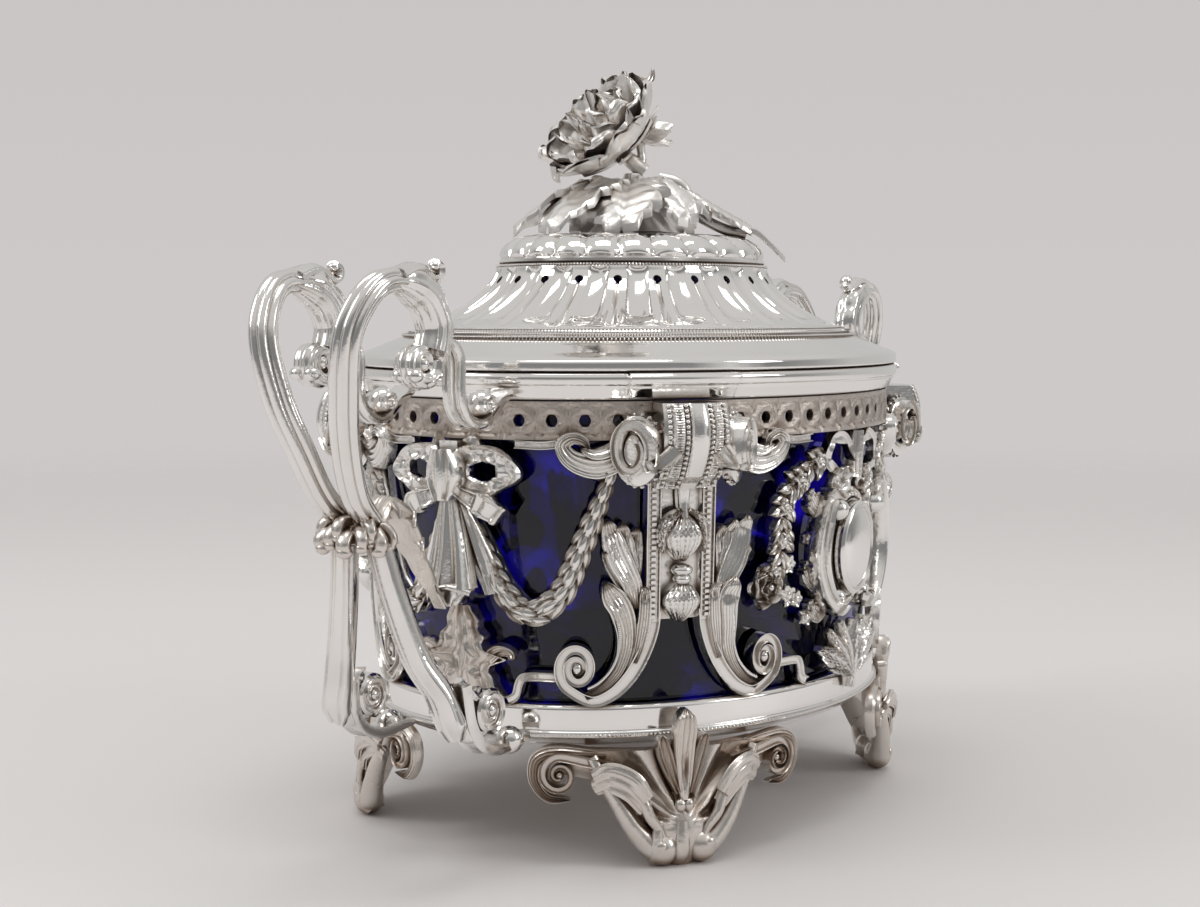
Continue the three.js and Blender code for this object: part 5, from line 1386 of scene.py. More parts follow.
def laurelLeaf(long, wide, high):
    # pointed leaf with a raised rim, sunk sides and a midrib
    leaf = newShape()
    rows = []
    for i in range(9):
        t = i / 8
        half = wide / 2 * sin(pi * (0.05 + 0.91 * t)) ** 0.9
        crest = high * (0.35 + 0.65 * sin(pi * (0.1 + 0.7 * t)))
        rows.append([(t * long, half, 0), (t * long, half * 0.86, crest),
                     (t * long, half * 0.5, crest * 0.55), (t * long, half * 0.12, crest * 0.72),
                     (t * long, -half * 0.12, crest * 0.72), (t * long, -half * 0.5, crest * 0.55),
                     (t * long, -half * 0.86, crest), (t * long, -half, 0)])
    addRows(leaf, rows)
    return leaf


def drawSwag(look):
    # laurel festoon, thick at the bottom, with long leaves that overlap towards both ends
    shape = newShape()
    lowU, lowZ = look["swagLow"]
    topU, topZ = look["swagTop"]
    line = [(3.4, 72.4, 0.4), (6.4, 65.8, 0.3), (10.2, lowZ + 5.0, 0.2), (lowU, lowZ + 0.2, 0.2),
            (lowU + 6.2, lowZ + 3.6, 0.2), (topU - 5.0, lowZ + 15.6, 0.1), (topU, topZ, 0)]
    width = along([4.6, 6.0, 6.8, 7.0, 6.4, 5.2, 2.4])
    strap(shape, line, lambda t: 0.80 * width(t), domed(2.0, 0.35), 60, 16)
    count = 30
    for i, (spot, way) in enumerate(smoothLine(line, count)):
        t = i / count
        wide = width(t)
        forward = 1 if t > 0.45 else -1
        size = 0.66 + 0.34 * wide / look["swagWidth"]
        for row in (-1, 0, 1):
            if (i + row) % 2:
                continue
            turn = atan2(way.y * forward, way.x * forward) - row * forward * 0.30
            c, s = cos(turn) * size, sin(turn) * size
            startU, startZ = spot.x - way.y * row * wide * 0.25, spot.y + way.x * row * wide * 0.25
            lift = 2.3 + (0.8 if row == 0 else 0.0)
            leaf = laurelLeaf(6.6, 2.9, 1.3)

            def place(point):
                u, z = (point.x - 2.4) * c - point.y * s, (point.x - 2.4) * s + point.y * c
                bend = 0.12 * abs(point.x - 3)
                return Vector((startU + u, startZ + z, spot.z + lift - 0.5 - bend + point.z * 1.1))
            mergeInto(shape, leaf, place)
    return shape


def drawEndLeaf(look):
    # broad cloth-like leaf on the base under the tassel, with one point turned out on each side
    shape = newShape()
    base, top = body["base"][1], look["leafTop"]
    halves = along([9.4, 9.2, 8.8, 7.6, 6.8, 7.6, 10.8, 6.6, 5.4, 5.6, 4.4, 4.2, 3.4, 2.6])

    def crumple(t, a):
        rim = peak(abs(a), 0.93, 0.06)
        fold = 0.9 * cos(pi * 2.2 * a + 2.5 * t) + 0.45 * cos(pi * 5 * a - 6 * t)
        fold += 0.16 * cos(pi * 11 * a + 9 * t)
        eye = 0.9 * peak(abs(a), 0.45, 0.14) * peak(t, 0.26, 0.06)
        eye -= 1.1 * peak(abs(a), 0.45, 0.06) * peak(t, 0.26, 0.03)
        return 2.6 + 0.8 * fold * (1 - t * 0.4) + 0.7 * rim + 0.5 * sin(14 * t) * abs(a) ** 3 + eye
    strap(shape, [(0, base + 0.4, 0.2), (0, base + 9, 0.6), (0, top, 0.3)],
          lambda t: 2 * halves(t) * (1 + 0.05 * sin(31 * t)), crumple, 90, 60)
    for side in (-1, 1):
        strap(shape, mirrored(side, [(6.6, base + 9.6, 1.6), (9.4, base + 11.4, 1.8),
                                     (12.0, base + 11.0, 2.2), (12.6, base + 9.8, 2.6)]),
              roundEnd(along([4.2, 3.6, 2.6, 2.0])), hatched(2.2, 3, 0.14), 30, 14)
    strap(shape, [(-look["leafHalf"] * 0.8, base + 1.0, 0), (look["leafHalf"] * 0.8, base + 1.0, 0)],
          even(1.8), domed(2.0, 0.5), 10, 8)
    return shape


# Medallion group on the long sides

sideLook = {
    "centre": 63.0, "halfWidth": 8.4, "halfHeight": 10.7, "thick": 3.0, "lift": 2.5,
    "frameHalfWidth": 17.7, "frameHalfHeight": 16.3,
    "garlandOut": 31.0, "garlandRise": 57.0, "rose": 4.9,
    "knot": 82.6, "loopOut": 12.6, "palmetteHalf": 14.5, "palmetteTop": 46.6, "palmetteFoot": 30.8,
}


mirrorSteps = [  # how far each face is drawn in, and how far it is then raised
    (0.0, 1.5), (0.04, 0.5), (0.045, 0.2), (0.05, -0.55), (0.03, 0.05),
    (0.10, 0.55), (0.16, 0.4), (0.18, 0.22), (0.16, 0.1),
]


def makeMedallion(look, name, start):
    # by hand: a round primitive, inset and raised into a rimmed oval mirror, then bent on to the wall
    bpy.ops.object.select_all(action="DESELECT")
    bpy.ops.mesh.primitive_cylinder_add(vertices=72, radius=1, depth=0.01, end_fill_type="NGON",
                                        location=(0, 0, 0))
    piece = bpy.context.object
    piece.name = name
    bpy.ops.object.mode_set(mode="EDIT")
    bpy.ops.mesh.select_mode(type="FACE")
    bpy.ops.mesh.select_all(action="DESELECT")
    work = bmesh.from_edit_mesh(piece.data)
    for face in work.faces:
        face.select = face.normal.z > 0.9
    bmesh.update_edit_mesh(piece.data)
    for inset, rise in mirrorSteps:
        if inset:
            bpy.ops.mesh.inset(thickness=inset)
            bpy.ops.transform.translate(value=(0, 0, rise))
        else:
            bpy.ops.mesh.extrude_region_move(TRANSFORM_OT_translate={"value": (0, 0, rise)})
    bpy.ops.mesh.select_all(action="SELECT")
    bpy.ops.mesh.normals_make_consistent(inside=False)
    bpy.ops.object.mode_set(mode="OBJECT")
    place = onWall(start)
    for vertex in piece.data.vertices:
        x, y, z = vertex.co
        vertex.co = place(x * look["halfWidth"], look["centre"] + y * look["halfHeight"],
                          look["lift"] + 0.05 + z) * mm
    finishPiece(piece, polishedSilver, name.replace("mirror", "medallion"), "bowl", smooth=0.6)


def drawCartouche(look):
    shape = newShape()
    middle, wide, high = look["centre"], look["frameHalfWidth"], look["frameHalfHeight"]
    # drum behind the mirror, sectioned like a strung ribbon
    profile = [(0, 0.2), (1.0, 0.2), (1.0, 2.2), (0, 2.2)]
    boss(shape, (0, middle), profile, look["halfWidth"] + 0.5, look["halfHeight"] + 0.5, 64)
    for i in range(36):
        angle = 2 * pi * i / 36
        u, z = (look["halfWidth"] + 1.4) * cos(angle), middle + (look["halfHeight"] + 1.4) * sin(angle)
        ball(shape, (u, z, 1.3), (0.85, 0.85, 1.2), 5, 7)
    ring = [((look["halfWidth"] + 2.6) * cos(angle), middle + (look["halfHeight"] + 2.6) * sin(angle))
            for angle in circle(40)]
    rows = []
    bead = ((-0.7, 0), (-0.6, 1.5), (0, 1.9), (0.6, 1.5), (0.7, 0))
    for i, (u, z) in enumerate(ring):
        angle = 2 * pi * i / 40
        c, s = cos(angle), sin(angle)
        rows.append([(u + c * d, z + s * d, h) for d, h in bead])
    addRing(shape, rows)
    for side in (-1, 1):
        # C scroll with rolled ends, then leaves that fill the corners
        c = mirrored(side, [(8.2, middle + high - 5.2, 0.8), (12.6, middle + high - 3.4, 1.0),
                            (wide - 2.0, middle + 6, 1.2), (wide - 1.2, middle - 2, 1.2),
                            (wide - 4.6, middle - 9.6, 1.2), (8.4, middle - high + 3.2, 1.0),
                            (4.6, middle - high + 4.4, 0.8)])
        strap(shape, c, swell(2.8, 4.6, 2.8), moulded(4.4, 0.26, 0.36), 80, 14)
        ball(shape, (side * 9.8, middle + high - 6.8, 3.4), (2.6, 2.6, 2.8), 9, 16)
        ball(shape, (side * 6.4, middle - high + 5.6, 2.2), (2.0, 2.0, 2.4), 8, 14)
        strap(shape, spiral((side * 9.6, middle + high - 6.6), 3.0, 3.0, pi / 2, 0.9, 0.6, 16, 0.8, side),
              even(1.3), domed(2.8, 0.4), 40, 8)
        top, foot = middle + high, middle - high
        corners = [  # line, width and height of each leaf
            ([(6.0, top - 4.0, 0.6), (9.0, top - 0.6, 1.0), (4.4, top + 2.0, 0.4)], 4.4, 2.4),
            ([(13.4, middle + 7.6, 0.8), (16.6, middle + 10.8, 0.8), (19.0, middle + 14.6, 0.2)], 4.8, 2.4),
            ([(14.0, middle - 8.6, 0.6), (17.4, middle - 5.4, 0.6), (18.8, middle - 1.2, 0.2)], 3.8, 2.2),
            ([(9.4, foot + 3.6, 0.4), (14.2, foot + 2.6, 0.4), (17.0, foot + 6.0, 0.2)], 4.2, 2.2)]
        for line, leafWide, leafHigh in corners:
            drawAcanthus(shape, mirrored(side, line), leafWide, leafHigh)
        for u, z, r in ((17.2, -14.0, 2.1), (21.2, -9.6, 1.9), (18.4, 3.6, 1.5)):
            drawBlossom(shape, side * u, middle + z, 0.4, r, 5)
    return shape


def drawBlossom(shape, u, z, w, radius, petals):
    wave = lambda angle, r: 1 + 0.17 * cos(petals * angle) * min(1.0, r * 1.6)
    boss(shape, (u, z), [(0, 0), (0.9, 0), (1.0, 0.6), (0.86, 1.3), (0.62, 0.95), (0.4, 1.0), (0.3, 1.6),
                         (0, 1.9)], radius, radius, 30, w, wave)


def drawRose(shape, u, z, w, radius):
    # nested cups of petals, each turned a little from the last
    for n, (share, rise) in enumerate(((1.0, 0.0), (0.76, 0.7), (0.52, 1.2), (0.30, 1.6))):
        turn = 0.7 * n
        wave = lambda angle, r: 1 + 0.11 * cos(5 * (angle + turn)) * min(1.0, r * 1.5)
        boss(shape, (u, z), [(0, rise - 0.1), (0.86, rise - 0.1), (1.0, rise + 0.9), (0.93, rise + 1.7),
                             (0.84, rise + 1.2), (0.7, rise + 0.6), (0, rise + 0.5)], radius * share,
             radius * share, 36, w, wave)
    ball(shape, (u, z, w + 2.6), (radius * 0.16, radius * 0.16, 0.7), 6, 10)


def drawGarland(look):
    shape = newShape()
    top = body["frieze"][0]
    out, rise = look["garlandOut"], look["garlandRise"]
    line = [(13.8, top - 4.9, 0), (20, top - 8.4, 0), (25.6, top - 12.6, 0), (27.4, top - 18, 0),
            (out - 3.6, rise + 8, 0), (out - 1.4, rise + 3, 0)]
    strap(shape, line, even(1.8), domed(1.7, 0.4), 50, 8)
    leaf = laurelLeaf(4.6, 2.6, 1.2)
    for i, (spot, way) in enumerate(smoothLine(line, 13)):
        for row in (-1, 1):
            turn = atan2(way.y, way.x) + row * (0.75 + 0.2 * sin(2.1 * i))
            c, s = cos(turn), sin(turn)
            mergeInto(shape, leaf, lambda point: Vector((spot.x + point.x * c - point.y * s,
                    spot.y + point.x * s + point.y * c, 0.8 + 0.3 * (i % 2) + point.z * 1.5)))
        if i % 3 == 1:
            drawBlossom(shape, spot.x, spot.y, 1.4, 1.9, 5)
    drawRose(shape, out, rise, 0.2, look["rose"])
    drawBlossom(shape, out - 7.2, rise - 2.6, 0.2, 2.4, 5)
    drawBlossom(shape, out - 6.6, rise + 4.4, 0.4, 2.2, 6)
    strap(shape, [(out - 2.0, rise - 0.8, 0), (out - 7.4, rise - 2.6, 0)], even(2.0), domed(1.6), 8, 6)
    return shape


def drawRibbon(look):
    shape = newShape()
    knot, top, out = look["knot"], body["frieze"][0] - 0.3, look["loopOut"]
    for side in (-1, 1):
        loop = mirrored(side, [(1.0, knot + 1.2, 1.0), (out * 0.4, top - 1.8, 0.6),
                               (out * 0.86, top - 1.7, 0.4), (out, knot + 0.6, 0.6),
                               (out * 0.5, knot - 2.2, 0.8), (1.0, knot - 1.4, 1.2)])
        strap(shape, loop, lambda t: 2.3 + 0.6 * cos(2 * pi * 3.5 * t), crinkled(2.2, 4.5, 0.35), 80, 10)
        strap(shape, mirrored(side, [(1.0, knot - 2.0, 0.8), (3.4, knot - 5.0, 0.6), (7.4, knot - 6.0, 0.2)]),
              taper(1.8, 3.0), crinkled(1.9, 2.0, 0.3), 30, 10)
    strap(shape, [(0, top, 0), (0, knot - 3.4, 0)], swell(3.4, 5.0, 3.4), hatched(3.6, 5), 24, 18)
    return shape


def drawPalmette(look):
    shape = newShape()
    foot, top, half, lift = look["palmetteFoot"], look["palmetteTop"], look["palmetteHalf"], 2.3
    strap(shape, [(0, foot, lift), (0, foot + 5, lift + 0.4), (0, top, lift)],
          swell(1.2, 5.0, 1.6), veined(2.4, 5), 34, 16)
    for side in (-1, 1):
        for out, high, wide in ((half, 41.6, 4.6), (half * 0.74, 45.2, 4.0), (half * 0.4, 46.6, 3.6),
                                (half * 0.6, 36.6, 3.4)):
            bend = foot + 2.6 + (high - foot) * 0.4
            line = mirrored(side, [(0.4, foot + 2.6, lift), (out * 0.45, bend, lift + 0.5),
                                   (out, high, lift - 0.3)])
            strap(shape, line, swell(1.2, wide, 1.3), veined(2.3, 6), 32, 14)
    return shape


def setOrnament():
    def fix(name, node, shape, place, finish=castSilver):
        makePiece(name, shape, finish, node, "bowl", place)
    halves = (("a", -1), ("b", 1))
    pilaster = drawPilaster(pilasterLook)
    legs = {"end": drawLeg(legLook, legLook["lobeEnd"]), "side": drawLeg(legLook, legLook["lobeSide"])}
    foot = drawFoot(footLook)
    for spot, at, toEnd in pilasterSpots:
        fix(f"pilaster_cast_{spot}", f"pilaster_{spot}", pilaster, onWall(at))
        for kind, side in (("end", toEnd), ("side", -toEnd)):
            fix(f"scroll_cast_{spot}_{kind}", f"scroll_leg_{spot}_{kind}", legs[kind], onWall(at, side))
        fix(f"foot_cast_{spot}", f"foot_{spot}", foot, onWall(at, toEnd), agedSilver)
    bow, swag, leaf = drawBow(endLook), drawSwag(endLook), drawEndLeaf(endLook)
    for face in ("left", "right"):
        start = faceStart[face]
        fix(f"bow_cast_{face}", f"bow_{face}", bow, onWall(start))
        for half, side in halves:
            fix(f"swag_cast_{face}_{half}", f"swag_{face}_{half}", swag, onWall(start, side))
        fix(f"base_leaf_{face}", f"leaf_mask_{face}", leaf, onWall(start), agedSilver)
    middles = {"cartouche": drawCartouche(sideLook), "ribbon": drawRibbon(sideLook),
               "palmette": drawPalmette(sideLook)}
    garland = drawGarland(sideLook)
    for face in ("front", "back"):
        start = faceStart[face]
        makeMedallion(sideLook, "mirror_" + face, start)
        for kind, shape in middles.items():
            fix(f"{kind}_cast_{face}", f"{kind}_{face}", shape, onWall(start))
        for half, side in halves:
            fix(f"garland_cast_{face}_{half}", f"garland_{face}_{half}", garland, onWall(start, side))


setOrnament()
print("wall ornament made")


# Handles: reeded arms, strap legs, a leafy collar and a strut in to the tassel

handleLook = {
    "reach": 106.0, "height": 71.3, "thick": 3.8,
    "armSpread": 12.6, "armWide": 6.1, "armThick": 5.8, "lobe": 0.36,
    "bulge": (121.0, 108.0), "top": (110.5, 122.4), "inner": 98.0, "scrollDrop": 15.9, "scrollRadius": 4.5,
    "bracket": (84.8, 100.6), "bracketRadius": 6.4, "bracketEnd": 74.13, "bracketBall": 2.8,
    "legWide": 6.2, "legThick": 3.2, "legSpread": 15.0, "legReach": 95.4,
    "volute": (85.6, 36.4), "voluteRadius": 4.7, "ballReach": 76.6, "ballRadius": 2.9, "strapEnd": 71.2,
}


collarBuds = [  # direction in half turns, rise over the middle of the collar, size
    (-0.52, 0.4, 1.0), (-0.36, -0.4, 1.25), (-0.20, 0.3, 1.1), (-0.05, -0.6, 1.35), (0.10, 0.5, 1.1),
    (0.24, -0.4, 1.25), (0.40, 0.2, 1.1), (0.54, 0.4, 1.0),
    (-0.28, 1.9, 0.95), (0.02, 2.1, 1.0), (0.30, 1.9, 0.95),
]


def barFrames(line, count):
    frames = []
    for spot, way in smoothLine(line, count):
        sideways = (Vector((0, 1, 0)) - way * way.y).normalized()
        frames.append((spot, sideways, way.cross(sideways)))
    return frames


def addBar(shape, frames, section):
    last = len(frames) - 1
    addRows(shape, [[spot + sideways * a + outward * b for a, b in section(i / last)]
                    for i, (spot, sideways, outward) in enumerate(frames)])


def reeded(wide, thick, lobe, around=60):
    # six round reeds side by side, with sharp grooves between them
    corners = []
    middle = 1 - lobe
    for j in range(around):
        angle = 2 * pi * j / around
        off = (angle + pi / 6) % (pi / 3) - pi / 6
        r = middle * cos(off) + sqrt(max(0.0, lobe * lobe - (middle * sin(off)) ** 2))
        corners.append((wide / 2 * r * cos(angle), thick / 2 * r * sin(angle)))
    return corners


def scrollDisc(radius, half, turns, start, way=1):
    # both faces of a rolled end, drawn flat and centred
    part = newShape()
    for side in (-1, 1):
        face = newShape()
        boss(face, (0, 0), [(0, -0.2), (0.96, -0.2), (0.96, half * 0.7), (0.84, half * 0.86),
                            (0, half * 0.62)], radius, radius, 36)
        strap(face, spiral((0, 0), radius - 0.7, radius - 0.7, start, turns, 0.22, 30, half * 0.3, way),
              taper(1.9, 1.2), moulded(half * 0.72, 0.2, 0.4), 90, 8, -0.4)
        ball(face, (0, 0, half * 0.8), (radius * 0.27, radius * 0.27, half * 0.34), 6, 14)
        mergeInto(part, face, lambda point: Vector((point.x, side * point.z, point.y)))
    return part


def drawArm(look):
    shape = newShape()
    seat = look["height"] + look["thick"] + 0.3
    reach, bulge, top = look["reach"], look["bulge"], look["top"]
    inner, spread = look["inner"], look["armSpread"]
    low = top[1] - look["scrollDrop"]
    line = [(reach - 0.4, 3.1, seat), (reach + 5.6, 4.1, seat + 5.4), (reach + 10.2, 5.6, seat + 14.4),
            (bulge[0] - 1.2, 8.0, bulge[1] - 8), (bulge[0], 10.4, bulge[1] + 5),
            (top[0] + 5.4, 12.0, top[1] - 1.6), (top[0], spread, top[1]),
            (inner + 4, spread, top[1] - 2.6), (inner, spread, top[1] - 8.6),
            (inner + 1.2, spread, low + 1.4)]
    frames = barFrames(line, 170)

    def section(t):
        fade = max(0.0, (t - 0.62) / 0.38)
        size = (0.86 + 0.16 * sin(pi * min(1.0, t * 1.25))) * (1 - 0.22 * fade)
        return [(a * size, b * size)
                for a, b in reeded(look["armWide"], look["armThick"], look["lobe"] + 0.10 * fade)]
    addBar(shape, frames, section)
    # acanthus sheath round the inner leg, with lobes down its outer side
    sheath = frames[116:169]

    def wrapped(t):
        full = min(1.0, 0.25 + 1.6 * t ** 0.8)
        corners = []
        for j in range(60):
            angle = 2 * pi * j / 60
            outside = max(0.0, -sin(angle))
            lobe = 0.55 * abs(sin(pi * (4.2 * t + 0.25 * cos(angle)))) * outside ** 0.6
            r = full * (1 + 0.05 * cos(9 * angle)) + 0.16 * lobe
            corners.append(((look["armWide"] / 2 + 0.5) * 0.98 * r * cos(angle),
                            (look["armThick"] / 2 + 0.7 + 0.8 * lobe) * r * sin(angle)))
        return corners
    addBar(shape, sheath, wrapped)
    drawArmScroll(shape, Vector((inner + 5.4, spread, low)), look["scrollRadius"])
    drawKnob(shape, look)
    drawBracket(shape, look, low)
    return shape


def drawArmScroll(shape, centre, radius):
    # the leaf rolls up in a plump, ribbed curl with a few small lobes inside it
    turns = 1.15
    line = []
    for i in range(15):
        part = i / 14
        angle = pi * (0.96 + 2 * turns * part)
        r = (radius - 1.3) * (1 - 0.66 * part) + 0.5
        line.append((centre.x + r * cos(angle), centre.y, centre.z + r * sin(angle)))

    def section(t):
        half, thick = 3.4 - 1.0 * t, 2.0 - 0.6 * t
        return ribbedOval(half, thick, 42, 7, 0.07, 0.14)
    addBar(shape, barFrames(line, 90), section)
    for side in (-1, 1):
        ball(shape, (centre.x + 0.2, centre.y + side * 1.5, centre.z), (1.5, 1.5, 1.5), 9, 14)
        for angle, size in ((-0.2, 1.3), (-0.62, 1.2), (-1.0, 1.0)):
            spot = (centre.x + (radius - 0.8) * cos(angle * pi), centre.y + side * 1.7,
                    centre.z + (radius - 0.8) * sin(angle * pi))
            ball(shape, spot, (1.3 * size, 1.5 * size, 1.1 * size), 8, 14)


def drawKnob(shape, look):
    # small leaf that leaves the shoulder of the arm and curls up at its tip
    x, y, z = look["inner"] + 2.0, look["armSpread"], look["top"][1]
    line = [(x + 9.6, y, z + 1.0), (x + 5.0, y, z + 2.3), (x + 1.6, y, z + 1.9), (x - 1.4, y, z + 0.4),
            (x - 3.4, y, z + 0.9), (x - 3.8, y, z + 2.8), (x - 2.4, y, z + 3.6)]
    addBar(shape, barFrames(line, 44),
           lambda t: ribbedOval(2.7 - 1.3 * t, 1.5 - 0.7 * t, 28, 7, 0.07, 0.07))
    ball(shape, (x - 2.4, y, z + 3.0), (1.0, 1.4, 0.95), 8, 14)


def drawBracket(shape, look, low):
    # strap with a milled groove that hooks down to the rim
    out, high = look["bracket"]
    radius, inner, spread = look["bracketRadius"], look["inner"], look["armSpread"]
    hook = [(out + radius * cos(angle), spread, high - radius * sin(angle))
            for angle in (0.8 * pi * i / 5 for i in range(6))]
    line = [(inner + 0.6, spread, low + 4.2), (out + radius + 2.4, spread, low + 3.6),
            (out + radius + 0.2, spread, low + 1.0)] + hook + [(look["bracketEnd"], spread, high - 0.4)]
    frames = barFrames(line, 90)

    def section(t):
        wide = 2.3
        face = [(wide * a, 0.75 + 0.45 * arch((abs(a) - 0.78) / 0.22) if abs(a) > 0.56 else 0.7)
                for a in sideToSide(20)]
        return face + [(-wide, -0.8), (wide, -0.8)]
    addBar(shape, frames, section)
    for i in range(14, 84):  # milled teeth in the groove
        ball(shape, tuple(frames[i][0] + frames[i][2] * 0.75), (0.24, 0.8, 0.24), 5, 6)
    ball(shape, (out - 2.8, spread, high - 2.6),
         (look["bracketBall"], look["bracketBall"], look["bracketBall"]), 12, 20)
    mergeInto(shape, scrollDisc(2.0, 3.0, 0.9, 0.4),
              lambda point: point + Vector((out - 2.8, spread, high - 2.6)))


def drawHandleLeg(look):
    shape = newShape()
    seat = look["height"] - 0.3
    reach, spread, low = look["reach"], look["legSpread"], body["base"][0]
    volute, radius = look["volute"], look["voluteRadius"]
    line = [(reach - 1.6, 4.4, seat), (reach - 3.4, 6.2, seat - 10), (reach - 6.4, 9.6, seat - 23),
            (look["legReach"] + 1.2, spread - 2.2, volute[1] + 4.4),
            (look["legReach"], spread - 0.6, low + 10.4), (look["legReach"] - 1.6, spread, low + 7.0)]
    frames = barFrames(line, 110)

    def section(t):
        half = (look["legWide"] - 1.4 + 2.0 * t) / 2 * (1 - 0.5 * max(0.0, (t - 0.93) / 0.07))
        high = look["legThick"] / 2 * (1.1 - 0.3 * t)
        corners = []
        for j in range(31):
            a = 1 - 2 * j / 30
            far = abs(a)
            ridge = 0.50 * peak(far, 0.86, 0.09) + 0.30 * peak(a, -0.34, 0.06)
            corners.append((half * a, high * (0.62 + ridge + 0.3 * (1 - far * far)) if far < 0.98
                            else high * 0.2))
        return corners + [(-half * 0.8, -high), (half * 0.8, -high)]
    addBar(shape, frames, section)
    # scroll strap that leaves the leg and runs under the volute to its ball
    under = [(look["legReach"] - 2.0, spread - 0.8, volute[1] + 6),
             (look["legReach"] - 3.4, spread - 0.2, volute[1] - 2.0),
             (look["legReach"] - 6.6, spread, low + 5.0), (volute[0] - 2.0, spread, low + 2.8),
             (look["ballReach"] + 2.0, spread, low + 2.6), (look["strapEnd"], spread, low + 3.2)]

    def moulding(t):
        half, high = 3.0 - 0.9 * t, 1.2
        return [(half * a, high * (0.45 + 0.55 * peak(abs(a), 0.82, 0.14)))
                for a in sideToSide(20)] + [(-half, -high), (half, -high)]
    addBar(shape, barFrames(under, 80), moulding)
    mergeInto(shape, scrollDisc(radius, 2.9, 1.4, -pi * 0.5, -1),
              lambda point: point + Vector((volute[0], spread, volute[1])))
    stem = barFrames([(look["legReach"] - 2.4, spread - 0.4, volute[1] - 1.0),
                      (volute[0] + 5.6, spread, volute[1] - 4.6),
                      (volute[0] + 1.4, spread, volute[1] - radius + 0.3)], 16)
    addBar(shape, stem, lambda t: ribbedOval(2.2, 1.3, 20))
    end = (look["ballReach"], spread + 0.6, low + 3.4)
    ball(shape, end, (look["ballRadius"], look["ballRadius"], look["ballRadius"]), 14, 24)
    leaf = barFrames([(volute[0] + 1, spread, volute[1] + radius - 0.6),
                      (volute[0] + 4.8, spread, volute[1] + 3.4),
                      (look["legReach"] - 2.4, spread - 0.6, volute[1] + 7.0)], 24)
    addBar(shape, leaf, lambda t: ribbedOval(1.0 + 1.6 * sin(pi * t), 0.9, 24, 7, 0.1))
    return shape


def drawCollar(look):
    shape = newShape()
    reach, middle = look["reach"], look["height"] + look["thick"] / 2
    rows = []
    for z, share in ((-1.85, 0.84), (-1.5, 0.98), (-0.4, 1.04), (0.6, 0.98), (1.5, 0.90), (1.85, 0.78)):
        rows.append([(reach + 5.0 * share * (1 + 0.05 * cos(9 * angle)) * 0.88 * cos(angle),
                      5.0 * share * (1 + 0.05 * cos(9 * angle)) * 1.22 * sin(angle), middle + z)
                     for angle in circle(72)])
    addRows(shape, rows)
    # bunch of leaf buds that spring from the joint and curl over on the outside
    for turn, rise, size in collarBuds:
        angle = pi * turn
        out = Vector((cos(angle) * 0.9, sin(angle) * 1.22, 0))
        root = Vector((reach, 0, middle + rise)) + out * 3.4
        line = [tuple(root + Vector((0, 0, 0.9))), tuple(root + out * 2.0 + Vector((0, 0, 0.8))),
                tuple(root + out * 3.2 * size ** 0.5 + Vector((0, 0, -0.9))),
                tuple(root + out * 2.7 * size ** 0.5 + Vector((0, 0, -2.4)))]
        addBar(shape, barFrames(line, 18), lambda t: ribbedOval(size * (1.5 - 0.3 * t),
                size * (0.9 - 0.1 * t), 20, 5, 0.07))
        ball(shape, line[-1], (1.2 * size, 1.3 * size, 1.0 * size), 8, 14)
    drawStrut(shape, look, middle)
    return shape


def drawStrut(shape, look, middle):
    # long acanthus leaf that arches in to the tassel, with fine lines along it and lobed edges
    reach = look["reach"]
    tasselFace = body["halfLength"] - body["wall"] - body["taper"] + 9.6
    line = [(reach - 2, 0, middle), (reach - 7, 0, middle + 5.6), (reach - 13, 0, middle + 3.4),
            (reach - 17, 0, middle - 3.4), (tasselFace + 0.9, 0, 55.4)]
    frames = barFrames(line, 90)

    def section(t):
        lobe = 0.84 + 0.22 * abs(sin(pi * (0.25 + 4.2 * t)))
        half = (2.6 + 2.2 * sin(pi * min(1.0, t * 1.15))) * lobe * (1 - 0.45 * t)
        top = []
        for j in range(29):
            a = 1 - 2 * j / 28
            lift = 1.2 * (1 - 0.45 * t) * (0.3 + 0.7 * arch(a)) + 0.16 * cos(pi * 9
                    * a) - 0.9 * (abs(a) ** 3)
            top.append((half * a, -lift))
        return top + [(-half * 0.9, 1.5 - 0.4 * t), (half * 0.9, 1.5 - 0.4 * t)]
    addBar(shape, frames, section)
    for i, size in ((18, 1.1), (34, 1.2), (48, 1.0)):  # lobes that turn out at the edges
        spot, sideways, outward = frames[i]
        for side in (-1, 1):
            root = spot + sideways * side * 2.6 + outward * 0.4
            tip = root + sideways * side * 1.9 + outward * 1.6 + Vector((0, 0, -1.2))
            addBar(shape, barFrames([tuple(root), tuple(root.lerp(tip, 0.6) + Vector((0, 0, 0.5))),
                                     tuple(tip)], 10),
                   lambda t: ribbedOval(size * (1.25 - 0.9 * t), 0.7 * (1 - 0.4 * t), 12))


def setHandles():
    arm, leg, collar = drawArm(handleLook), drawHandleLeg(handleLook), drawCollar(handleLook)
    for face, end in (("left", -1), ("right", 1)):
        makePiece(f"collar_cast_{face}", collar, agedSilver, f"handle_collar_{face}", "bowl",
                  lambda x, y, z: Vector((end * x, y, z)))
        for place, side in (("front", -1), ("back", 1)):
            for kind, shape in (("arm", arm), ("leg", leg)):
                makePiece(f"{kind}_cast_{face}_{place}", shape, handleSilver,
                          f"handle_{kind}_{face}_{place}", "bowl",
                          lambda x, y, z: Vector((end * x, side * y, z)))


setHandles()
print("handles made")


# Finial: a full rose and a bud on a forked stalk over a mound of leaves

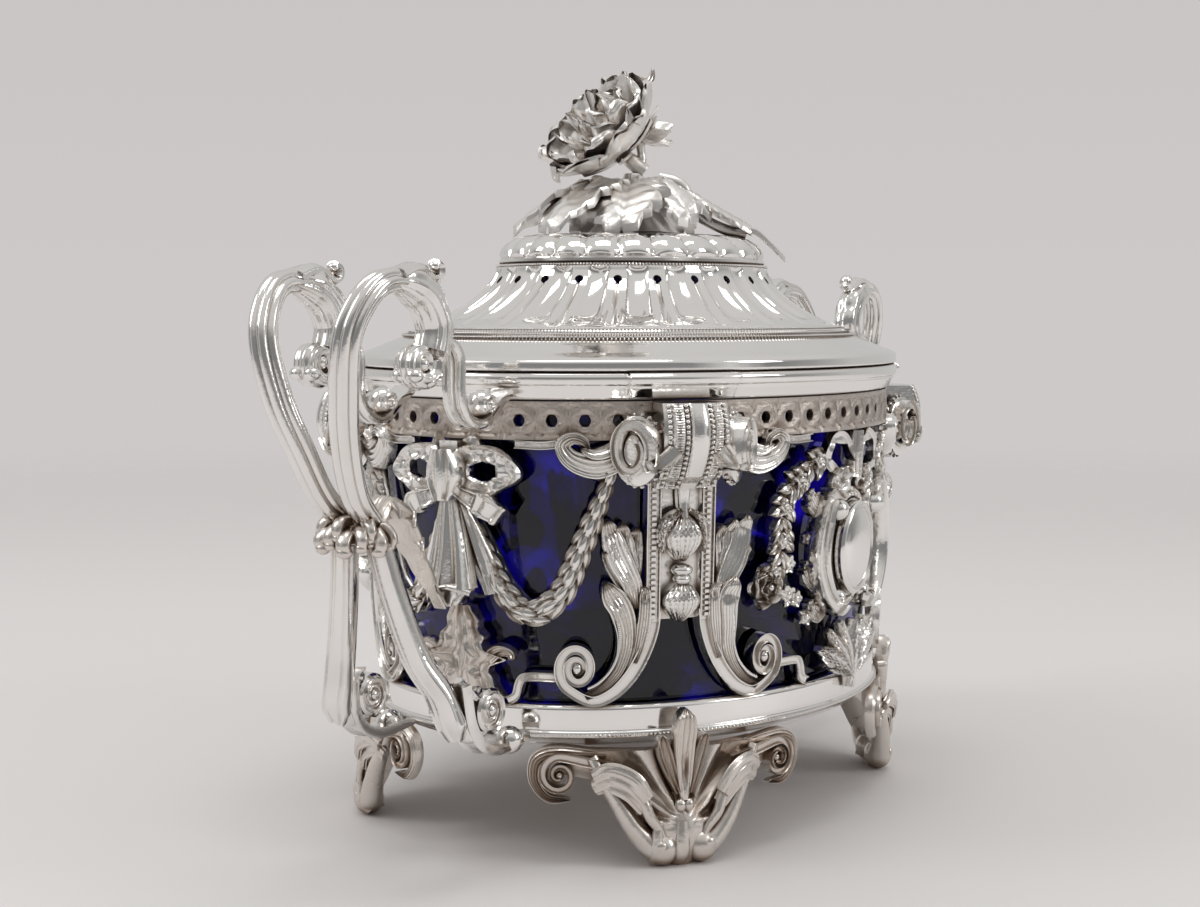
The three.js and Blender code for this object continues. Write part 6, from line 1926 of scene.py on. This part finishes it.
finialLook = {
    "turn": -58.5, "domeTop": 135.3, "bossTop": 149.5, "bossRadius": 12.0,
    "roseRadius": 15.6, "roseDepth": 12.5, "foot": (3.4, 6.0),
    "roseWay": (-0.60, 0.46, 0.64), "roseUp": (0.74, 0.12, 0.66), "budRise": 6.4, "budLean": 1.15,
}
finialLook["petalRings"] = [  # number, share of the full size, spread, lift and curl of the rim
    (5, 1.0, 0.78, 0.2, 1.0), (5, 0.80, 0.80, 1.6, 0.75), (4, 0.56, 0.9, 3.4, 0.4),
    (3, 0.32, 1.15, 5.2, 0.1)]
finialCos, finialSin = cos(radians(finialLook["turn"])), sin(radians(finialLook["turn"]))


def atFinial(across, front, z):
    return Vector((across * finialCos + front * finialSin, across * finialSin - front * finialCos, z))


roseWay = Vector(finialLook["roseWay"]).normalized()
roseUp = Vector(finialLook["roseUp"])
roseUp = (roseUp - roseWay * roseWay.dot(roseUp)).normalized()
roseSide = roseWay.cross(roseUp)


def atRose(x, along, z):
    out, rise = finialLook["foot"]
    spot = roseWay * along + roseUp * x + roseSide * z
    return atFinial(spot.x - out, spot.y, finialLook["bossTop"] + rise + spot.z)


def petal(shape, turn, spread, size, lift, curl, seed):
    # a thin cup-shaped petal with a rolled, wavy rim and fine grooves
    rows, steps, across = [], 16, 22
    for i in range(steps + 1):
        s = i / steps
        half = spread * sin(pi * (0.12 + 0.80 * s)) ** 0.7
        row = []
        for side, a in bothFaces(across):
            dip = 1 - 0.16 * a * a * s
            angle = turn + a * half
            radius = size * (0.10 + 0.92 * sin(pi / 2 * min(1.0, 1.12 * s))) * dip
            along = lift + finialLook["roseDepth"] * (0.06 + 0.86 * s ** 1.5) * (0.55
                    + 0.45 * size / finialLook["roseRadius"])
            roll = max(0.0, s - 0.78) / 0.22
            radius += curl * 1.7 * sin(roll * pi * 0.7)
            along -= curl * 2.6 * roll ** 2
            along += 1.5 * s ** 2 * sin(3.1 * a + seed) + 0.8 * s ** 2 * cos(7.0 * a + 2 * seed)
            radius += 0.8 * s ** 2 * cos(5.0 * a + seed)
            groove = 0.26 * cos(18 * a) * sin(pi * min(1.0, s * 1.05))
            thick = (0.75 - 0.25 * s) * (1 if side else -1)
            radius += 0.4 * thick + groove
            along -= 0.55 * thick - groove
            row.append(atRose(radius * cos(angle), along, radius * sin(angle)))
        rows.append(row)
    addRows(shape, rows)


def drawRoseHead():
    shape = newShape()
    size = finialLook["roseRadius"]
    for ring, (count, share, spread, lift, curl) in enumerate(finialLook["petalRings"]):
        for i in range(count):
            petal(shape, 2 * pi * (i + 0.5 * (ring % 2) + 0.13 * ring) / count, spread, size * share, lift,
                  curl, 1.3 * i + 2.1 * ring)
    rows = []
    for i in range(9):  # the heart and the cup behind the petals
        s = i / 8
        rows.append([atRose((0.6 + 3.6 * sin(pi * s)) * cos(a), 12.6 * s,
                            (0.6 + 3.6 * sin(pi * s)) * sin(a)) for a in circle(20)])
    addRows(shape, rows)
    for i in range(5):  # sepals that lie back against the petals
        turn = 2 * pi * (i + 0.3) / 5
        rows = []
        for k in range(11):
            s = k / 10
            radius, along, half = 1.6 + 9.4 * s, -0.6 + 3.0 * s ** 1.6, 1.9 * sin(pi
                    * (0.25 + 0.72 * s)) + 0.1
            row = []
            for face, a in bothFaces(4):
                c, n = cos(turn), sin(turn)
                lift = along + (0.35 if face else -0.35) - 0.5 * abs(a)
                row.append(atRose(radius * c - a * half * n, lift, radius * n + a * half * c))
            rows.append(row)
        addRows(shape, rows)
    return shape


def tube(shape, line, start, end, steps=28, around=16, knots=0.0):
    rows = []
    for i, (spot, way) in enumerate(smoothLine(line, steps)):
        t = i / steps
        aside = way.cross(Vector((0.31, 0.2, 0.93))).normalized()
        up = way.cross(aside)
        radius = (start + (end - start) * t) * (1 + knots * sin(17 * t))
        rows.append([spot + (aside * cos(a) + up * sin(a)) * radius for a in circle(around)])
    addRows(shape, rows)


def drawStalk():
    shape = newShape()
    low = finialLook["bossTop"] + 0.3
    tube(shape, [atFinial(2.6, 0, low), atFinial(0.9, 0, low + 1.4), atRose(0, -2.6, 0),
                 atRose(0, 0.6, 0)], 2.0, 1.6, 26, 16, 0.05)
    tube(shape, [atFinial(1.6, 0, low + 0.6), atFinial(2.0, -1, low + 2.8),
                 atFinial(1.6, -1, finialLook["bossTop"] + finialLook["budRise"] + 1.0)], 1.2, 1.0, 18, 12,
         0.06)
    return shape


def drawBud():
    shape = newShape()
    lean = finialLook["budLean"]
    foot = finialLook["bossTop"] + finialLook["budRise"] + 1.8
    up = Vector((sin(lean), 0, cos(lean)))
    side = Vector((cos(lean), 0, -sin(lean)))

    def place(x, along, z):
        spot = side * x + up * along
        return atFinial(1.2 + spot.x, -1 + z, foot + spot.z)
    rows = []
    for i in range(13):
        s = i / 12
        radius = 3.0 * sin(pi * (0.06 + 0.90 * s)) ** 0.8 * (1 - 0.35 * s)
        rows.append([place(radius * (1 + 0.12 * cos(3 * a + 5 * s)) * cos(a), 9.0 * s,
                           radius * (1 + 0.12 * cos(3 * a + 5 * s)) * sin(a)) for a in circle(24)])
    addRows(shape, rows)
    for i in range(6):  # sepals, spread like a small star
        turn = 2 * pi * (i + 0.2) / 6
        reach = 6.4 if i % 2 else 4.8
        rows = []
        for k in range(10):
            s = k / 9
            radius, along, half = 1.0 + reach * s * 0.72, 1.2 + reach * s ** 1.3, 1.7 * sin(pi
                    * (0.2 + 0.77 * s)) + 0.08
            row = []
            for face, a in bothFaces(2):
                c, n = cos(turn), sin(turn)
                reached = radius + (0.32 if face else -0.32) - 0.4 * abs(a)
                row.append(place(reached * c - a * half * n, along, reached * n + a * half * c))
            rows.append(row)
        addRows(shape, rows)
    return shape


finialLeaves = [  # direction in turns, length, droop, width, and how much the edge is torn
    (0.50, 29.0, 12.6, 21.0, 0.22), (0.385, 27.0, 12.2, 22.0, 0.24), (0.27, 25.5, 12.4, 21.0, 0.26),
    (0.15, 21.5, 10.2, 15.0, 0.24),
    (-0.15, 22.5, 11.6, 16.0, 0.2), (-0.34, 24.5, 11.6, 18.0, 0.2), (0.03, 19.0, 8.4, 11.0, 0.2),
]


def finialLeaf(shape, turn, length, droop, width, torn):
    # serrated leaf with a sunk midrib, slanting veins and a hanging, wavy edge
    top = finialLook["bossTop"] - 0.8
    line = [(2, 0, top - 1.4), (length * 0.42, 0, top - droop * 0.14),
            (length * 0.76, 0, top - droop * 0.56), (length, 0, top - droop)]
    direction = turn * 2 * pi
    rows, steps, across = [], 48, 24
    for i, (spot, way) in enumerate(smoothLine(line, steps)):
        t = i / steps
        tooth = 1 - torn * (1 - (7 * t) % 1.0)
        half = (1.8 + (width / 2 - 1.8) * sin(pi * (0.10 + 0.84 * t))) * tooth if t < 0.985 else 0.5
        row = []
        for face, a in bothFaces(across):
            vein = 0.10 * cos(2 * pi * (7 * t + 1.2 * abs(a))) + 0.35 * sin(4.6 * a + 5 * t
                    + 9 * turn) + 0.5 * peak(abs(a), 0.92, 0.07)
            wave = 0.9 * sin(5.5 * t + 2.4 * turn) * a * abs(a) + 0.5 * cos(21 * t) * abs(a) ** 3
            z = spot.z + (0.7 if face else -0.5) - 1.5 * abs(a) ** 1.8 + wave + (vein
                    - 0.45 * peak(a, 0, 0.1) if face else 0.0)
            u, v = spot.x, a * half
            row.append(atFinial(u * cos(direction) - v * sin(direction),
                                u * sin(direction) + v * cos(direction), z))
        rows.append(row)
    addRows(shape, rows)


def drawLeafMound():
    shape = newShape()
    base, top, radius = finialLook["domeTop"], finialLook["bossTop"], finialLook["bossRadius"]
    rows = []
    for i in range(15):  # gnarled core that the leaves grow from
        s = i / 14
        r = radius * 0.86 * (1 - 0.80 * s ** 0.8)
        rows.append([(r * (1 + 0.08 * cos(6 * a + 4 * s)) * cos(a), r * (1 + 0.08 * cos(6 * a + 4 * s))
                      * sin(a), base + (top - base) * s) for a in circle(48)])
    addRows(shape, rows)
    for values in finialLeaves:
        finialLeaf(shape, *values)
    # the long spray to one side: a bent twig, one hanging leaf and a thin tip that curls off the dome
    twig = [atFinial(6, 0.5, top - 1.2), atFinial(11.5, 1.0, top - 3.0), atFinial(15.0, 1.4, top - 9.4),
            atFinial(21.5, 1.2, top - 13.2), atFinial(27.0, 0.6, top - 14.6)]
    tube(shape, twig, 1.7, 1.2, 40, 14, 0.05)
    tip = [atFinial(24.0, 0.8, top - 13.4), atFinial(29.0, 0.4, top - 13.4),
           atFinial(33.0, 0.2, top - 16.6), atFinial(36.6, 0, top - 20.2)]
    rows = []
    for i, (spot, way) in enumerate(smoothLine(tip, 26)):
        t = i / 26
        half = 0.5 + 1.5 * sin(pi * (0.15 + 0.8 * t))
        row = []
        for face, a in bothFaces(4):
            row.append(spot + atFinial(0, a * half, 0)
                       + Vector((0, 0, (0.5 if face else -0.5) - 0.5 * a * a)))
        rows.append(row)
    addRows(shape, rows)
    rows = []
    hanging = [atFinial(13.5, 1.4, top - 4.4), atFinial(18.0, 2.0, top - 7.2),
               atFinial(24.0, 1.6, top - 10.6), atFinial(28.4, 1.0, top - 13.0)]
    for i, (spot, way) in enumerate(smoothLine(hanging, 30)):
        t = i / 30
        half = (0.8 + 3.4 * sin(pi * (0.08 + 0.86 * t))) * (1 - 0.14 * (1 - (6 * t) % 1.0))
        row = []
        for face, a in bothFaces(12):
            drop = Vector((0, 0, (0.5 if face else -0.4) - 1.5 * a * a
                           + (0.16 * cos(2 * pi * (6 * t + 2 * abs(a))) if face else 0)))
            row.append(spot + atFinial(0, a * half, 0) + drop)
        rows.append(row)
    addRows(shape, rows)
    return shape


makePiece("rose_head", drawRoseHead(), satinSilver, "finial_rose", "lid")
makePiece("rose_stalk", drawStalk(), satinSilver, "finial_stem", "lid")
makePiece("rose_bud", drawBud(), satinSilver, "finial_bud", "lid")
makePiece("leaf_mound", drawLeafMound(), satinSilver, "finial_leaves", "lid")
print("finial made")


# The plain parts that the frame carries over

for node in ("floor_plate", "lid_bezel", "finial_nut"):
    carried = frame["nodes"][node]
    for socket in carried.material_slots:
        socket.material = stippledSilver if node == "floor_plate" else polishedSilver
print("carried parts finished")
